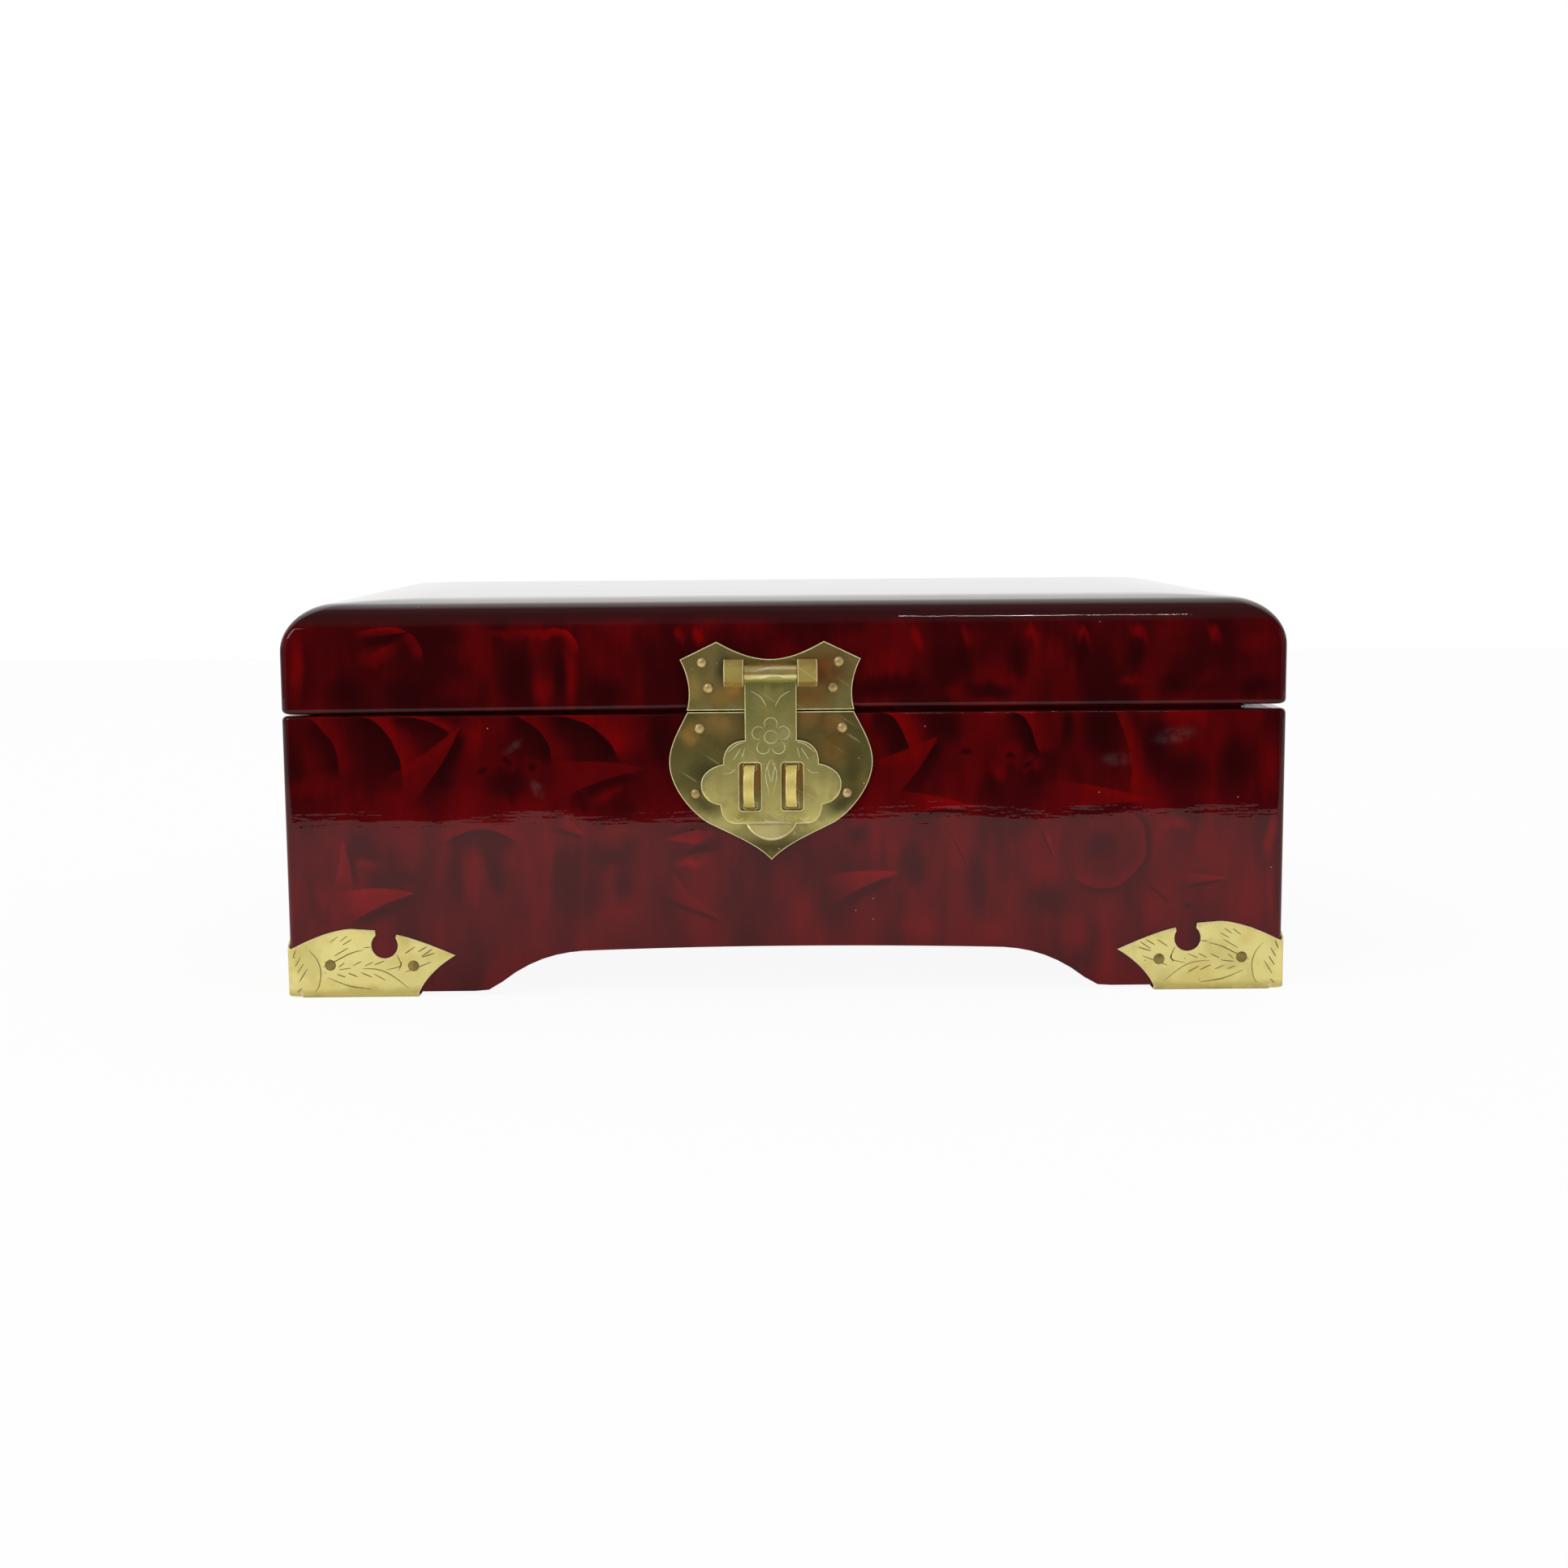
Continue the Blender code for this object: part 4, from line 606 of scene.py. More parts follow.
def front_patch(g, flat, *oval):
    """The share of a soft oval patch on the front."""
    return g.band(g.length(front_place(g, flat, *oval)), 1.35, 0.15)


def front_fold(g, flat, tone, x, z, radius, depth_in, tone_in, depth_out, tone_out, start, end):
    """A crisp arc on the front that shades off on one side of it, or on both."""
    half_angle = math.radians(end - start) / 2
    place = front_place(g, flat, x, z, radius, radius, (start + end) / 2)
    along, across, _ = g.split(place)
    angle = g.math("ABSOLUTE", g.math("ARCTAN2", across, along))
    ends = g.band(angle, half_angle, half_angle * 0.6)
    reach = g.length(place)
    edge = 1.0 + FOLD_EDGE / radius
    if depth_in:
        inner = g.times(g.band(reach, 1.0 - depth_in / radius, 1.0), g.band(reach, edge, 1.0), ends)
        tone = g.mix(inner, tone, tone_in)
    if depth_out:
        outer = g.times(g.band(reach, 1.0 + depth_out / radius, edge), g.band(reach, 1.0, edge), ends)
        tone = g.mix(outer, tone, tone_out)
    return tone


def scales(g, flat, tone, scale, shift, radii, dark, strength):
    """Overlapping rounded petals with one crisp edge, which fade into the smoke at their root."""
    u, v, (_, chance, shade) = turned_cell(g, flat, scale, shift)
    reach = g.length(g.join(g.math("DIVIDE", u, radii[0]), g.math("DIVIDE", v, radii[1]), 0.0))
    inside = g.band(reach, 1.0, 0.94)
    root = g.band(u, -0.65 * radii[0], 0.55 * radii[0])
    if dark:
        glow = g.band(reach, 0.35, 1.0, 0.55, 0.02)
    else:
        glow = g.times(g.band(reach, 0.05, 1.0, 0.42, 0.74), g.mix(shade, 0.55, 1.0))
    present = g.times(g.math("GREATER_THAN", chance, 0.2), strength)
    return g.mix(g.times(g.times(inside, root), present), tone, glow)


def strokes(g, flat, tone, pitch, strength, patch):
    """Upright brush strokes with soft sides, in patches."""
    u, v, _ = g.split(flat)
    swayed = g.plus(u, g.times(g.noise(flat, 24.0, 1.0), 0.020))
    count = g.math("DIVIDE", g.plus(swayed, g.times(v, 0.18)), pitch)
    saw = g.math("FRACT", count)
    lift = g.noise(g.join(g.math("FLOOR", count), v, 0.0), 14.0, 0.0)
    glow = g.times(
        g.band(saw, 0.1, 0.85, 0.04, 0.72), g.band(saw, 1.0, 0.88), g.band(lift, 0.30, 0.65, 0.25, 1.05))
    return g.mix(g.times(g.band(g.noise(flat, patch, 0.0), 0.44, 0.60), strength), tone, glow)


def rings(g, flat, tone, scale, shift, strength):
    """Small loops in clusters, as the tool leaves them in the wet lacquer."""
    local, (chance, _, _) = g.cells(flat, scale, shift)
    away = g.math("ABSOLUTE", g.minus(g.length(local), 0.26))
    cluster = g.band(g.noise(g.moved(flat, (0.31, 0.17, 0.0)), 20.0, 0.0), 0.62, 0.69)
    mask = g.times(g.band(away, 0.16, 0.02), cluster, strength)
    return g.mix(mask, tone, g.mix(chance, 0.10, 0.60))


def on_panel(x, z, reach, panel):
    """Whether a form at (x, z) that reaches so far to its sides shows on a panel."""
    left, right, low, high = FRONT_PANELS[panel]
    return left < x + reach and x - reach < right and low < z < high


def warped(g, place, scale, detail, reach):
    """The place moved about by a noise."""
    shift = g.vector("SUBTRACT", g.wander(place, scale, detail), (0.5, 0.5, 0.5))
    return g.moved(place, g.scaled(shift, reach))


def front_tone(g, flat, panel):
    """A front panel's own pattern of folds, upright patches and leaves."""
    bent = warped(g, flat, 70.0, 2.0, 0.0035)
    comb = g.minus(g.noise(flat, 380.0, 1.0, 0.5, (1.0, 0.05, 1.0)), 0.5)
    combed = [g.moved(bent, g.join(0.0, g.times(comb, reach), 0.0)) for reach in (ROUND_COMB, TALL_COMB)]
    tone = g.band(g.noise(combed[1], 60.0, 2.0, 0.55, (1.0, 0.45, 1.0)), 0.28, 0.72, 0.14, 0.60)
    for fold in FRONT_FOLDS:
        if on_panel(fold[0], fold[1], fold[2] + fold[5], panel):
            tone = front_fold(g, bent, tone, *fold)
    for *oval, level in FRONT_PATCHES:
        if on_panel(oval[0], oval[1], oval[2] * PATCH_REACH, panel):
            share = front_patch(g, combed[oval[3] > oval[2] * TALL_SHARE], *oval)
            tone = g.mix(g.times(share, PATCH_SHARE), tone, max(level, PATCH_FLOOR))
    for shape in FRONT_LEAVES:
        tip_x, tip_z, root_x, root_z, width = shape[:5]
        if on_panel((tip_x + root_x) / 2, (tip_z + root_z) / 2, abs(tip_x - root_x) / 2 + width, panel):
            tone = front_leaf(g, flat, tone, *shape)
    return tone


def scattered_tone(g, flat):
    """The pattern of the top, sides and back, scattered by chance."""
    bent = warped(g, flat, 16.0, 1.0, 0.008)
    tone = g.band(g.noise(bent, 24.0, 2.0, 0.55), 0.34, 0.68, 0.12, 0.60)
    tone = scales(g, bent, tone, 38.0, (3.1, 1.7, 0.0), (0.58, 0.44), True, 0.85)
    tone = scales(g, bent, tone, 30.0, (6.6, 4.7, 0.0), (0.50, 0.40), False, 0.80)
    tone = strokes(g, bent, tone, 0.0088, 0.80, 10.0)
    tone = scales(g, bent, tone, 27.0, (7.4, 5.2, 0.0), (0.55, 0.42), True, 0.75)
    tone = leaves(g, bent, tone, 27.0, (1.9, 8.3, 0.0), 0.42, 0.105, 0.75)
    return rings(g, bent, tone, 150.0, (0.4, 0.9, 0.0), 0.50)


def specks(g, place, scale, outer, inner, share, shift=(0.0, 0.0, 0.0)):
    """Small dots in a share of the cells, and another random number of each cell."""
    local, (chance, other, _) = g.cells(place, scale, shift)
    return g.times(g.band(g.length(local), outer, inner), g.math("LESS_THAN", chance, share)), other


def lacquer_material(panel=None):
    """Smoked red lacquer under a thick clear coat, with its ripple, dust and fine scratches."""
    g = Graph("smoked_lacquer" if panel is None else f"smoked_lacquer_{panel}")
    x, y, height = g.split(g.object_place())
    over = g.plus(y, height)
    flat = g.join(x, over, 0.0) if panel else unwrapped(g)
    tone = front_tone(g, flat, panel) if panel else scattered_tone(g, flat)
    # Painted shade: over the rounded top edge of the front the pattern turns to an even dark tone
    rounding = g.times(g.band(over, 0.0040, 0.0098), g.band(over, 0.022, 0.0128))
    tone = g.mix(rounding, tone, 0.14)
    smoke = g.band(g.noise(flat, 48.0, 3.0, 0.6), 0.25, 0.75, 0.78, 1.14)
    hair = g.band(g.noise(flat, 420.0, 2.0, 0.6, (1.0, 0.10, 1.0)), 0.3, 0.7, 0.92, 1.08)
    tone = g.times(tone, smoke, hair)
    # Painted light: low down the lacquer is painted lighter and redder, with less contrast, standing in for
    # light thrown up from the pale table
    low = g.band(height, 0.062, 0.038)
    tone = g.math("MULTIPLY_ADD", tone, g.mix(low, 1.0, 0.76), g.times(low, 0.16))
    colour = g.scaled(g.ramp(tone, LACQUER_STOPS), g.mix(low, 1.2, 1.9))
    for smudge in SMUDGES if panel else ():
        cloud = g.band(g.noise(flat, 500.0), 0.3, 0.7, 0.006, 0.045)
        colour = g.paint(g.times(front_patch(g, flat, *smudge), cloud), colour, (0.55, 0.42, 0.42))
    dust = specks(g, flat, 230.0, 0.055, 0.02, 0.012)[0]
    colour = g.paint(g.times(dust, 0.5), colour, (0.45, 0.36, 0.33))

    ripple = g.noise(flat, 26.0, 2.0, 0.5, (1.0, 2.6, 1.0))
    streak = g.noise(flat, 95.0, 2.0, 0.6, (0.55, 4.0, 1.0))
    normal = g.bump(streak, 0.000014, under=g.bump(ripple, 0.00007))
    normal = g.bump(g.noise(flat, 850.0, 1.0, 0.5), 0.0000032, under=normal)
    rough = g.band(g.noise(flat, 70.0, 3.0, 0.6), 0.35, 0.75, 0.008, 0.036)
    return g.shade(
        Base_Color=colour, Roughness=0.6, Specular_IOR_Level=0.0, Coat_Weight=1.0,
        Coat_Roughness=rough, Coat_IOR=1.36, Coat_Normal=normal)


def brass_material(name, clean, tarnish, stain, rough, metallic=1.0, spread=0.5, fades=(), patches=()):
    """Worn brass: clouds of tarnish, brown stains, dark specks and fine scratches; fades and patches can
    also hold painted light.

    Each fade is (start height, end height, tint): the colour turns to the tint between them.
    Each patch is (x, z, half width, half height, turn, tint), in millimetres on the front.
    """
    g = Graph(name)
    place = g.object_place()
    x, y, z = g.split(place)
    flat = g.join(g.plus(x, y), z, 0.0)
    cloud = g.noise(place, 95.0, 3.0, 0.6)
    ragged = g.math("MULTIPLY_ADD", cloud, 0.006, g.minus(z, 0.003))
    colour = clean
    shade = tarnish
    for low, high, tint in fades:
        share = g.band(ragged, low, high)
        colour = g.paint(share, colour, tint)
        shade = g.paint(share, shade, tuple(c * 0.75 for c in tint))
    colour = g.paint(g.band(cloud, 0.56 - spread * 0.3, 0.66 - spread * 0.2), colour, shade)
    blotch = g.noise(g.moved(place, (0.7, 0.2, 0.4)), 130.0, 2.0, 0.6)
    stained = g.band(blotch, 0.50, 0.66)
    colour = g.paint(g.times(stained, spread), colour, stain)
    wander = g.scaled(g.wander(place, 160.0, 3.0), 0.0030)
    wander = g.vector("SUBTRACT", wander, (0.0015, 0.0015 - FRONT_SHIFT, 0.0))
    around = g.moved(g.join(x, z, 0.0), wander)
    for *oval, tint in patches:
        colour = g.paint(g.times(front_patch(g, around, *oval), 0.85), colour, tint)
    speck, lucky = specks(g, flat, 800.0, 0.22, 0.10, 0.02, (0.3, 0.6, 0.0))
    dark = g.math("GREATER_THAN", lucky, 0.5)
    mark = g.paint(dark, (0.80, 0.74, 0.45), tuple(c * 0.3 for c in stain))
    colour = g.paint(g.times(speck, 0.55), colour, mark)
    scratch = g.band(g.noise(g.turned(flat, 0.6), 900.0, 1.0, 0.5, (0.06, 1.0, 1.0)), 0.68, 0.74)
    colour = g.paint(g.times(scratch, 0.35), colour, (0.85, 0.76, 0.42))
    brushed = g.noise(flat, 1400.0, 2.0, 0.6, (0.12, 1.0, 1.0))
    normal = g.bump(g.noise(place, 200.0, 1.0, 0.5), 0.00003, 0.25)
    normal = g.bump(brushed, 0.000003, 0.22, normal)
    roughness = g.math("MULTIPLY_ADD", stained, 0.12, g.band(cloud, 0.35, 0.65, rough - 0.05, rough + 0.06))
    return g.shade(Base_Color=colour, Metallic=metallic, Roughness=roughness, Normal=normal)


def trim_material(name, colour, dark, rough, metallic):
    """Worn rims painted pale as a highlight, nail heads, painted shade round the nails and engraved lines:
    one tone that varies along its length.
    """
    g = Graph(name)
    place = g.object_place()
    tone = g.paint(g.band(g.noise(place, 420.0, 3.0, 0.6), 0.35, 0.65), colour, dark)
    normal = g.bump(g.noise(place, 1500.0, 2.0, 0.6), 0.00001, 0.6)
    return g.shade(Base_Color=tone, Metallic=metallic, Roughness=rough, Normal=normal)


def cloth_material(name, deep, light, weave, nap):
    """Dyed cloth: a fine weave, a nap that lies in patches, and a soft sheen."""
    g = Graph(name)
    place = g.object_place()
    x, y, z = g.split(place)
    threads = g.times(*(
        g.math("SINE", g.times(g.plus(across, z), math.tau / weave)) for across in (x, y)))
    patch = g.noise(place, 45.0, 3.0, 0.6)
    fibre = g.noise(place, 2600.0, 2.0, 0.7)
    share = g.plus(g.times(g.band(patch, 0.35, 0.65), nap), g.times(fibre, 0.45))
    share = g.math("MULTIPLY_ADD", threads, 0.10, share)
    colour = g.paint(share, deep, light)
    normal = g.bump(g.noise(place, 160.0, 2.0, 0.5), 0.0003, 0.4)
    normal = g.bump(threads, 0.00006, 0.6, normal)
    normal = g.bump(fibre, 0.00005, 0.5, normal)
    return g.shade(
        Base_Color=colour, Roughness=0.9, Specular_IOR_Level=0.2, Normal=normal,
        Sheen_Weight=0.6, Sheen_Roughness=0.4, Sheen_Tint=(1.0, 0.45, 0.45))


def wood_material(name, light, dark, rough, coat=0.0):
    """Straight-grained board wood with darker rings and pores."""
    g = Graph(name)
    place = g.object_place()
    bent = g.moved(place, g.scaled(g.wander(place, 9.0, 2.0), 0.02))
    grain = g.noise(bent, 60.0, 4.0, 0.6, (0.08, 1.0, 1.0))
    pores = g.noise(bent, 900.0, 2.0, 0.6, (0.03, 1.0, 1.0))
    colour = g.paint(g.band(grain, 0.38, 0.62), light, dark)
    pore_tone = tuple(c * 0.5 for c in dark)
    colour = g.paint(g.times(g.band(pores, 0.58, 0.70), 0.6), colour, pore_tone)
    roughness = g.band(grain, 0.3, 0.7, rough - 0.05, rough + 0.05)
    return g.shade(
        Base_Color=colour, Roughness=roughness, Normal=g.bump(pores, 0.00006, 0.5),
        Coat_Weight=coat, Coat_Roughness=0.12)


def mirror_material():
    """Silvered glass with faint haze and a few grey specks of age."""
    g = Graph("mirror")
    place = g.object_place()
    haze = g.band(g.noise(place, 30.0, 4.0, 0.6), 0.4, 0.8)
    speck = specks(g, place, 160.0, 0.16, 0.05, 0.05)[0]
    colour = g.paint(speck, (0.86, 0.88, 0.87), (0.30, 0.28, 0.25))
    roughness = g.math("MULTIPLY_ADD", speck, 0.4, g.math("MULTIPLY_ADD", haze, 0.03, 0.012))
    return g.shade(Base_Color=colour, Roughness=roughness, Metallic=1.0)


def cubic(start, control_a, control_b, end, steps):
    """Points of a cubic curve after its start."""
    corners = (start, control_a, control_b, end)
    points = []
    for step in range(1, steps + 1):
        t = step / steps
        weights = ((1 - t) ** 3, 3 * t * (1 - t) ** 2, 3 * t * t * (1 - t), t ** 3)
        points.append(tuple(sum(w * c[k] for w, c in zip(weights, corners)) for k in (0, 1)))
    return points


def add_piece(name, bm, body, materials, replaced=(), smooth_deg=38.0):
    """A finished mesh that rides on a body."""
    bmesh.ops.recalc_face_normals(bm, faces=bm.faces)
    mesh = bpy.data.meshes.new(name)
    bm.to_mesh(mesh)
    bm.free()
    mesh.shade_smooth()
    mesh.set_sharp_from_angle(angle=math.radians(smooth_deg))
    piece = bpy.data.objects.new(name, mesh)
    bpy.context.scene.collection.objects.link(piece)
    for material in materials:
        mesh.materials.append(material)
    piece.modifiers.new("flat faces", "WEIGHTED_NORMAL").keep_sharp = True
    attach(piece, body)
    if replaced:
        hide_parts(*replaced)
    return piece


def trace(runs, width, height, start=None):
    """Follows straight and curved runs given as shares, and returns points."""
    points = [] if start is None else [start]
    for run in runs:
        if isinstance(run[0], tuple):
            points += cubic(points[-1], *[(u * width, v * height) for u, v in run], CURVE_STEPS)
        else:
            points.append((run[0] * width, run[1] * height))
    return points


def mirrored(half):
    """Closes a half outline that starts and ends on the middle line, or starts off it."""
    return half + [(-u, v) for u, v in reversed(half) if abs(u) > 1e-7]


def arc(centre, radius, angles):
    return [(centre[0] + radius * math.cos(a), centre[1] + radius * math.sin(a)) for a in angles]


def circle(centre, radius, steps=ROUND_STEPS):
    return arc(centre, radius, [math.tau * k / steps for k in range(steps)])


def rounded_rectangle(centre, width, height, radius, steps=5):
    """Outline of a rectangle with round corners, anticlockwise from the lower right."""
    points = []
    for quarter, (side_u, side_v) in enumerate(((1, -1), (1, 1), (-1, 1), (-1, -1))):
        pivot = (centre[0] + side_u * (width / 2 - radius), centre[1] + side_v * (height / 2 - radius))
        points += arc(pivot, radius, [math.pi / 2 * (quarter - 1 + k / steps) for k in range(steps + 1)])
    return points


def both_sides(shares, width, height):
    """Places given as shares of a half width and a height, on the left and on the right."""
    return [(side * u * width, v * height) for side in (-1, 1) for u, v in shares]


def smooth_line(points, steps=6):
    """A curve through given points."""
    places = [Vector(point) for point in points]
    places = [2 * places[0] - places[1], *places, 2 * places[-1] - places[-2]]
    line = []
    for a, b, c, d in zip(places, places[1:], places[2:], places[3:]):
        for k in range(steps):
            t = k / steps
            curve = (2 * a - 5 * b + 4 * c - d) * t + (3 * b - a - 3 * c + d) * t * t
            line.append(b + ((c - a) + curve) * t / 2)
    return line + [places[-2]]


def join_rings(bm, low, high):
    """Faces between two rings of vertices, either of which may be a single one."""
    steps = max(len(low), len(high))
    made = []
    for k in range(steps):
        n = (k + 1) % steps
        corners = [low[k % len(low)], low[n % len(low)], high[n % len(high)], high[k % len(high)]]
        made.append(bm.faces.new(list(dict.fromkeys(corners))))
    return made


def skin(bm, rows, finish=0, closed=False):
    """Joins rings of points in their order, into a loop or with whichever end has an area closed."""
    rings = [[bm.verts.new(point) for point in row] for row in rows]
    faces = []
    for low, high in zip(rings, rings[1:] + (rings[:1] if closed else [])):
        faces += join_rings(bm, low, high)
    for end in () if closed else (rings[0], rings[-1]):
        if len(end) > 2:
            faces.append(bm.faces.new(end))
    for face in faces:
        face.material_index = finish


def skinned(rows, closed=False):
    bm = bmesh.new()
    skin(bm, rows, closed=closed)
    return bm


def offset_loop(loop, distance):
    """A loop moved towards its left, with sharp corners mitred."""
    places = [Vector(point) for point in loop]
    moved = []
    for before, here, after in zip(places[-1:] + places[:-1], places, places[1:] + places[:1]):
        a, b = (here - before).normalized(), (after - here).normalized()
        left_a, left_b = Vector((-a.y, a.x)), Vector((-b.y, b.x))
        moved.append(here + (left_a + left_b) * (distance / max(1 + left_a.dot(left_b), 0.35)))
    return moved


def with_metal_on_left(loop, is_hole):
    area = sum(a[0] * b[1] - b[0] * a[1] for a, b in zip(loop, loop[1:] + loop[:1]))
    return loop if (area > 0) != is_hole else loop[::-1]


def sheet_metal(outline, holes, thickness, creases=(), both=False):
    """Flat sheet brass with rubbed rims, scored where it will bend.

    The pattern lies in (u, v) as X and Z; Y is the distance w in front of the sheet's back.
    """
    bm = bmesh.new()
    ease = RIM * (1 - math.sqrt(0.5))
    front = [(0.0, thickness - RIM), (ease, thickness - ease), (RIM, thickness)]
    back = [(RIM, 0.0), (ease, ease), (0.0, RIM)] if both else [(0.0, 0.0)]
    rows = back + front
    ends = ([], [])
    for number, loop in enumerate([outline, *holes]):
        loop = with_metal_on_left(loop, number > 0)
        rings = [[bm.verts.new((p.x, w, p.y)) for p in offset_loop(loop, inset)] for inset, w in rows]
        for (inset, _), (next_inset, _), low, high in zip(rows, rows[1:], rings, rings[1:]):
            for face in join_rings(bm, low, high):
                # Rim rows take the worn rim finish, painted pale as a highlight
                face.material_index = WORN_RIM_HIGHLIGHT if inset != next_inset else BODY
        for end, ring in zip(ends, (rings[0], rings[-1])):
            end += [bm.edges.get(pair) for pair in zip(ring, ring[1:] + ring[:1])]
    for end in ends:
        bmesh.ops.triangle_fill(bm, use_beauty=True, use_dissolve=False, edges=end, normal=(0, 1, 0))
    for place, direction in creases:
        geometry = bm.verts[:] + bm.edges[:] + bm.faces[:]
        bmesh.ops.bisect_plane(bm, geom=geometry, plane_co=place, plane_no=direction, dist=1e-7)
    return bm


def add_button(bm, centre, radius, height, shares, base, finish):
    """A closed round button that stands on a flat sheet."""
    rows = [[(u, base - BURIED, v) for u, v in circle(centre, radius)]]
    rows += [
        [(u, base + height * rise, v) for u, v in circle(centre, radius * reach)]
        for reach, rise in shares]
    rows.append([(centre[0], base + height, centre[1])])
    skin(bm, rows, finish)


def add_nail(bm, centre, radius, height, base):
    """A domed nail head with a ring of painted shade round its foot."""
    add_button(bm, centre, radius * NAIL_SHADE_REACH, NAIL_SHADE_HEIGHT, DISC_SHARES, base, NAIL_SHADE)
    add_button(bm, centre, radius, height, DOME_SHARES, base, NAIL)


def add_stroke(bm, points, width, base):
    """A fine engraved line, pointed at both ends, along a curve on a flat sheet."""
    if len(points) > 2:
        line = smooth_line(points)
    else:
        start, end = Vector(points[0]), Vector(points[1])
        line = [start.lerp(end, k / STROKE_STEPS) for k in range(STROKE_STEPS + 1)]
    count = len(line) - 1
    rows = []
    for k, here in enumerate(line):
        if k in (0, count):
            rows.append([(here.x, base - BURIED / 2, here.y)])
            continue
        run = (line[k + 1] - line[k - 1]).normalized()
        side = Vector((-run.y, run.x)) * (width / 2 * math.sin(math.pi * k / count) ** STROKE_TAPER)
        rows.append([(here.x + side.x * s, base + w, here.y + side.y * s) for s, w in STROKE_SECTION])
    skin(bm, rows, ENGRAVED)


def formed(bm, form):
    """Bends a flat sheet: form(u, v, w) gives each point's place."""
    for vert in bm.verts:
        vert.co = form(vert.co.x, vert.co.z, vert.co.y)
    return bm


def rolled(radius, thickness):
    """Forms a strap whose part above v = 0 rolls round an axis in front of its back face."""
    middle = radius - thickness / 2

    def form(u, v, w):
        if v <= 0:
            return Vector((u, radius - w, v))
        return Vector((u, (radius - w) * math.cos(v / middle), (radius - w) * math.sin(v / middle)))

    return form


def roll_creases(radius, thickness):
    """The roll's flat length and the lines across the strap where it bends."""
    length = math.radians(ROLL_TURN_DEG) * (radius - thickness / 2)
    return length, [((0, 0, length * k / ROLL_STEPS), (0, 0, 1)) for k in range(ROLL_STEPS)]


def add_pin(name, node, body, metals):
    """A round pin along X with eased ends, as large as its solid."""
    low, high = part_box(node)
    centre, radius, half = (low + high) / 2, (high.z - low.z) / 2, (high.x - low.x) / 2
    eased = [(-half + PIN_EASE * run, radius - PIN_EASE * cut) for run, cut in PIN_END_SHARES]
    rows = [
        [(centre.x + x, centre.y + u, centre.z + v) for u, v in circle((0, 0), reach)]
        for x, reach in [*eased, *[(-x, reach) for x, reach in reversed(eased)]]]
    add_piece(name, skinned(rows), body, metals, [node])


def loop_around(half_x, half_y, inset, radius):
    """A ring of points round the case, with as many stations on every ring."""
    points = []
    for quarter in range(4):
        run, across = (half_x, half_y) if quarter % 2 == 0 else (half_y, half_x)
        flat = run - inset - radius
        side = [(flat * (2 * k / SIDE_STATIONS - 1), inset - across) for k in range(SIDE_STATIONS + 1)]
        angles = [math.pi / 2 * (k / CORNER_STEPS - 1) for k in range(1, CORNER_STEPS)]
        side += arc((flat, inset + radius - across), radius, angles)
        cos, sin = ((1, 0), (0, 1), (-1, 0), (0, -1))[quarter]
        points += [(u * cos - v * sin, u * sin + v * cos, quarter % 2, u) for u, v in side]
    return points


def apron_heights():
    """How far the lower edge stands above the foot, by the distance from the end of the cut."""
    curve = [(0.0, 0.0)]
    for run in APRON_CURVE_SHARES:
        curve += cubic(curve[-1], *[(u * APRON_CURVE_RUN, v * APRON_RISE) for u, v in run], CURVE_STEPS)
    return [u for u, _ in curve], [v for _, v in curve]


def apron_rise(along, half_wall, curve, trim):
    """The lower edge's height above the foot, at a distance along a wall from its middle."""
    half_cut = half_wall - FOOT_LENGTH + trim
    shoulder = half_cut - APRON_CURVE_RUN
    distance = half_cut - abs(along)
    if distance <= 0:
        return 0.0
    if distance < APRON_CURVE_RUN:
        return float(np.interp(distance, *curve))
    crown = 1 - (abs(along) / shoulder) ** 2
    return APRON_RISE * (APRON_SHOULDER_SHARE + (1 - APRON_SHOULDER_SHARE) * crown)


def arc_rows(inset, height, radius, start_deg, end_deg, steps):
    """(inset, height) points on an arc; 0 degrees points inwards and 90 degrees up."""
    angles = [math.radians(start_deg + (end_deg - start_deg) * k / steps) for k in range(steps + 1)]
    return arc((inset, height), radius, angles)


def mark_front(bm, left, right):
    """Gives the faces of the front the materials of its panels."""
    bmesh.ops.recalc_face_normals(bm, faces=bm.faces)
    for face in bm.faces:
        place = face.calc_center_median()
        if face.normal.y < FRONT_FACING and place.y < FRONT_DEPTH and place.y + place.z < FRONT_TOP:
            face.material_index = left if place.x < SPLIT * MILLIMETRE else right


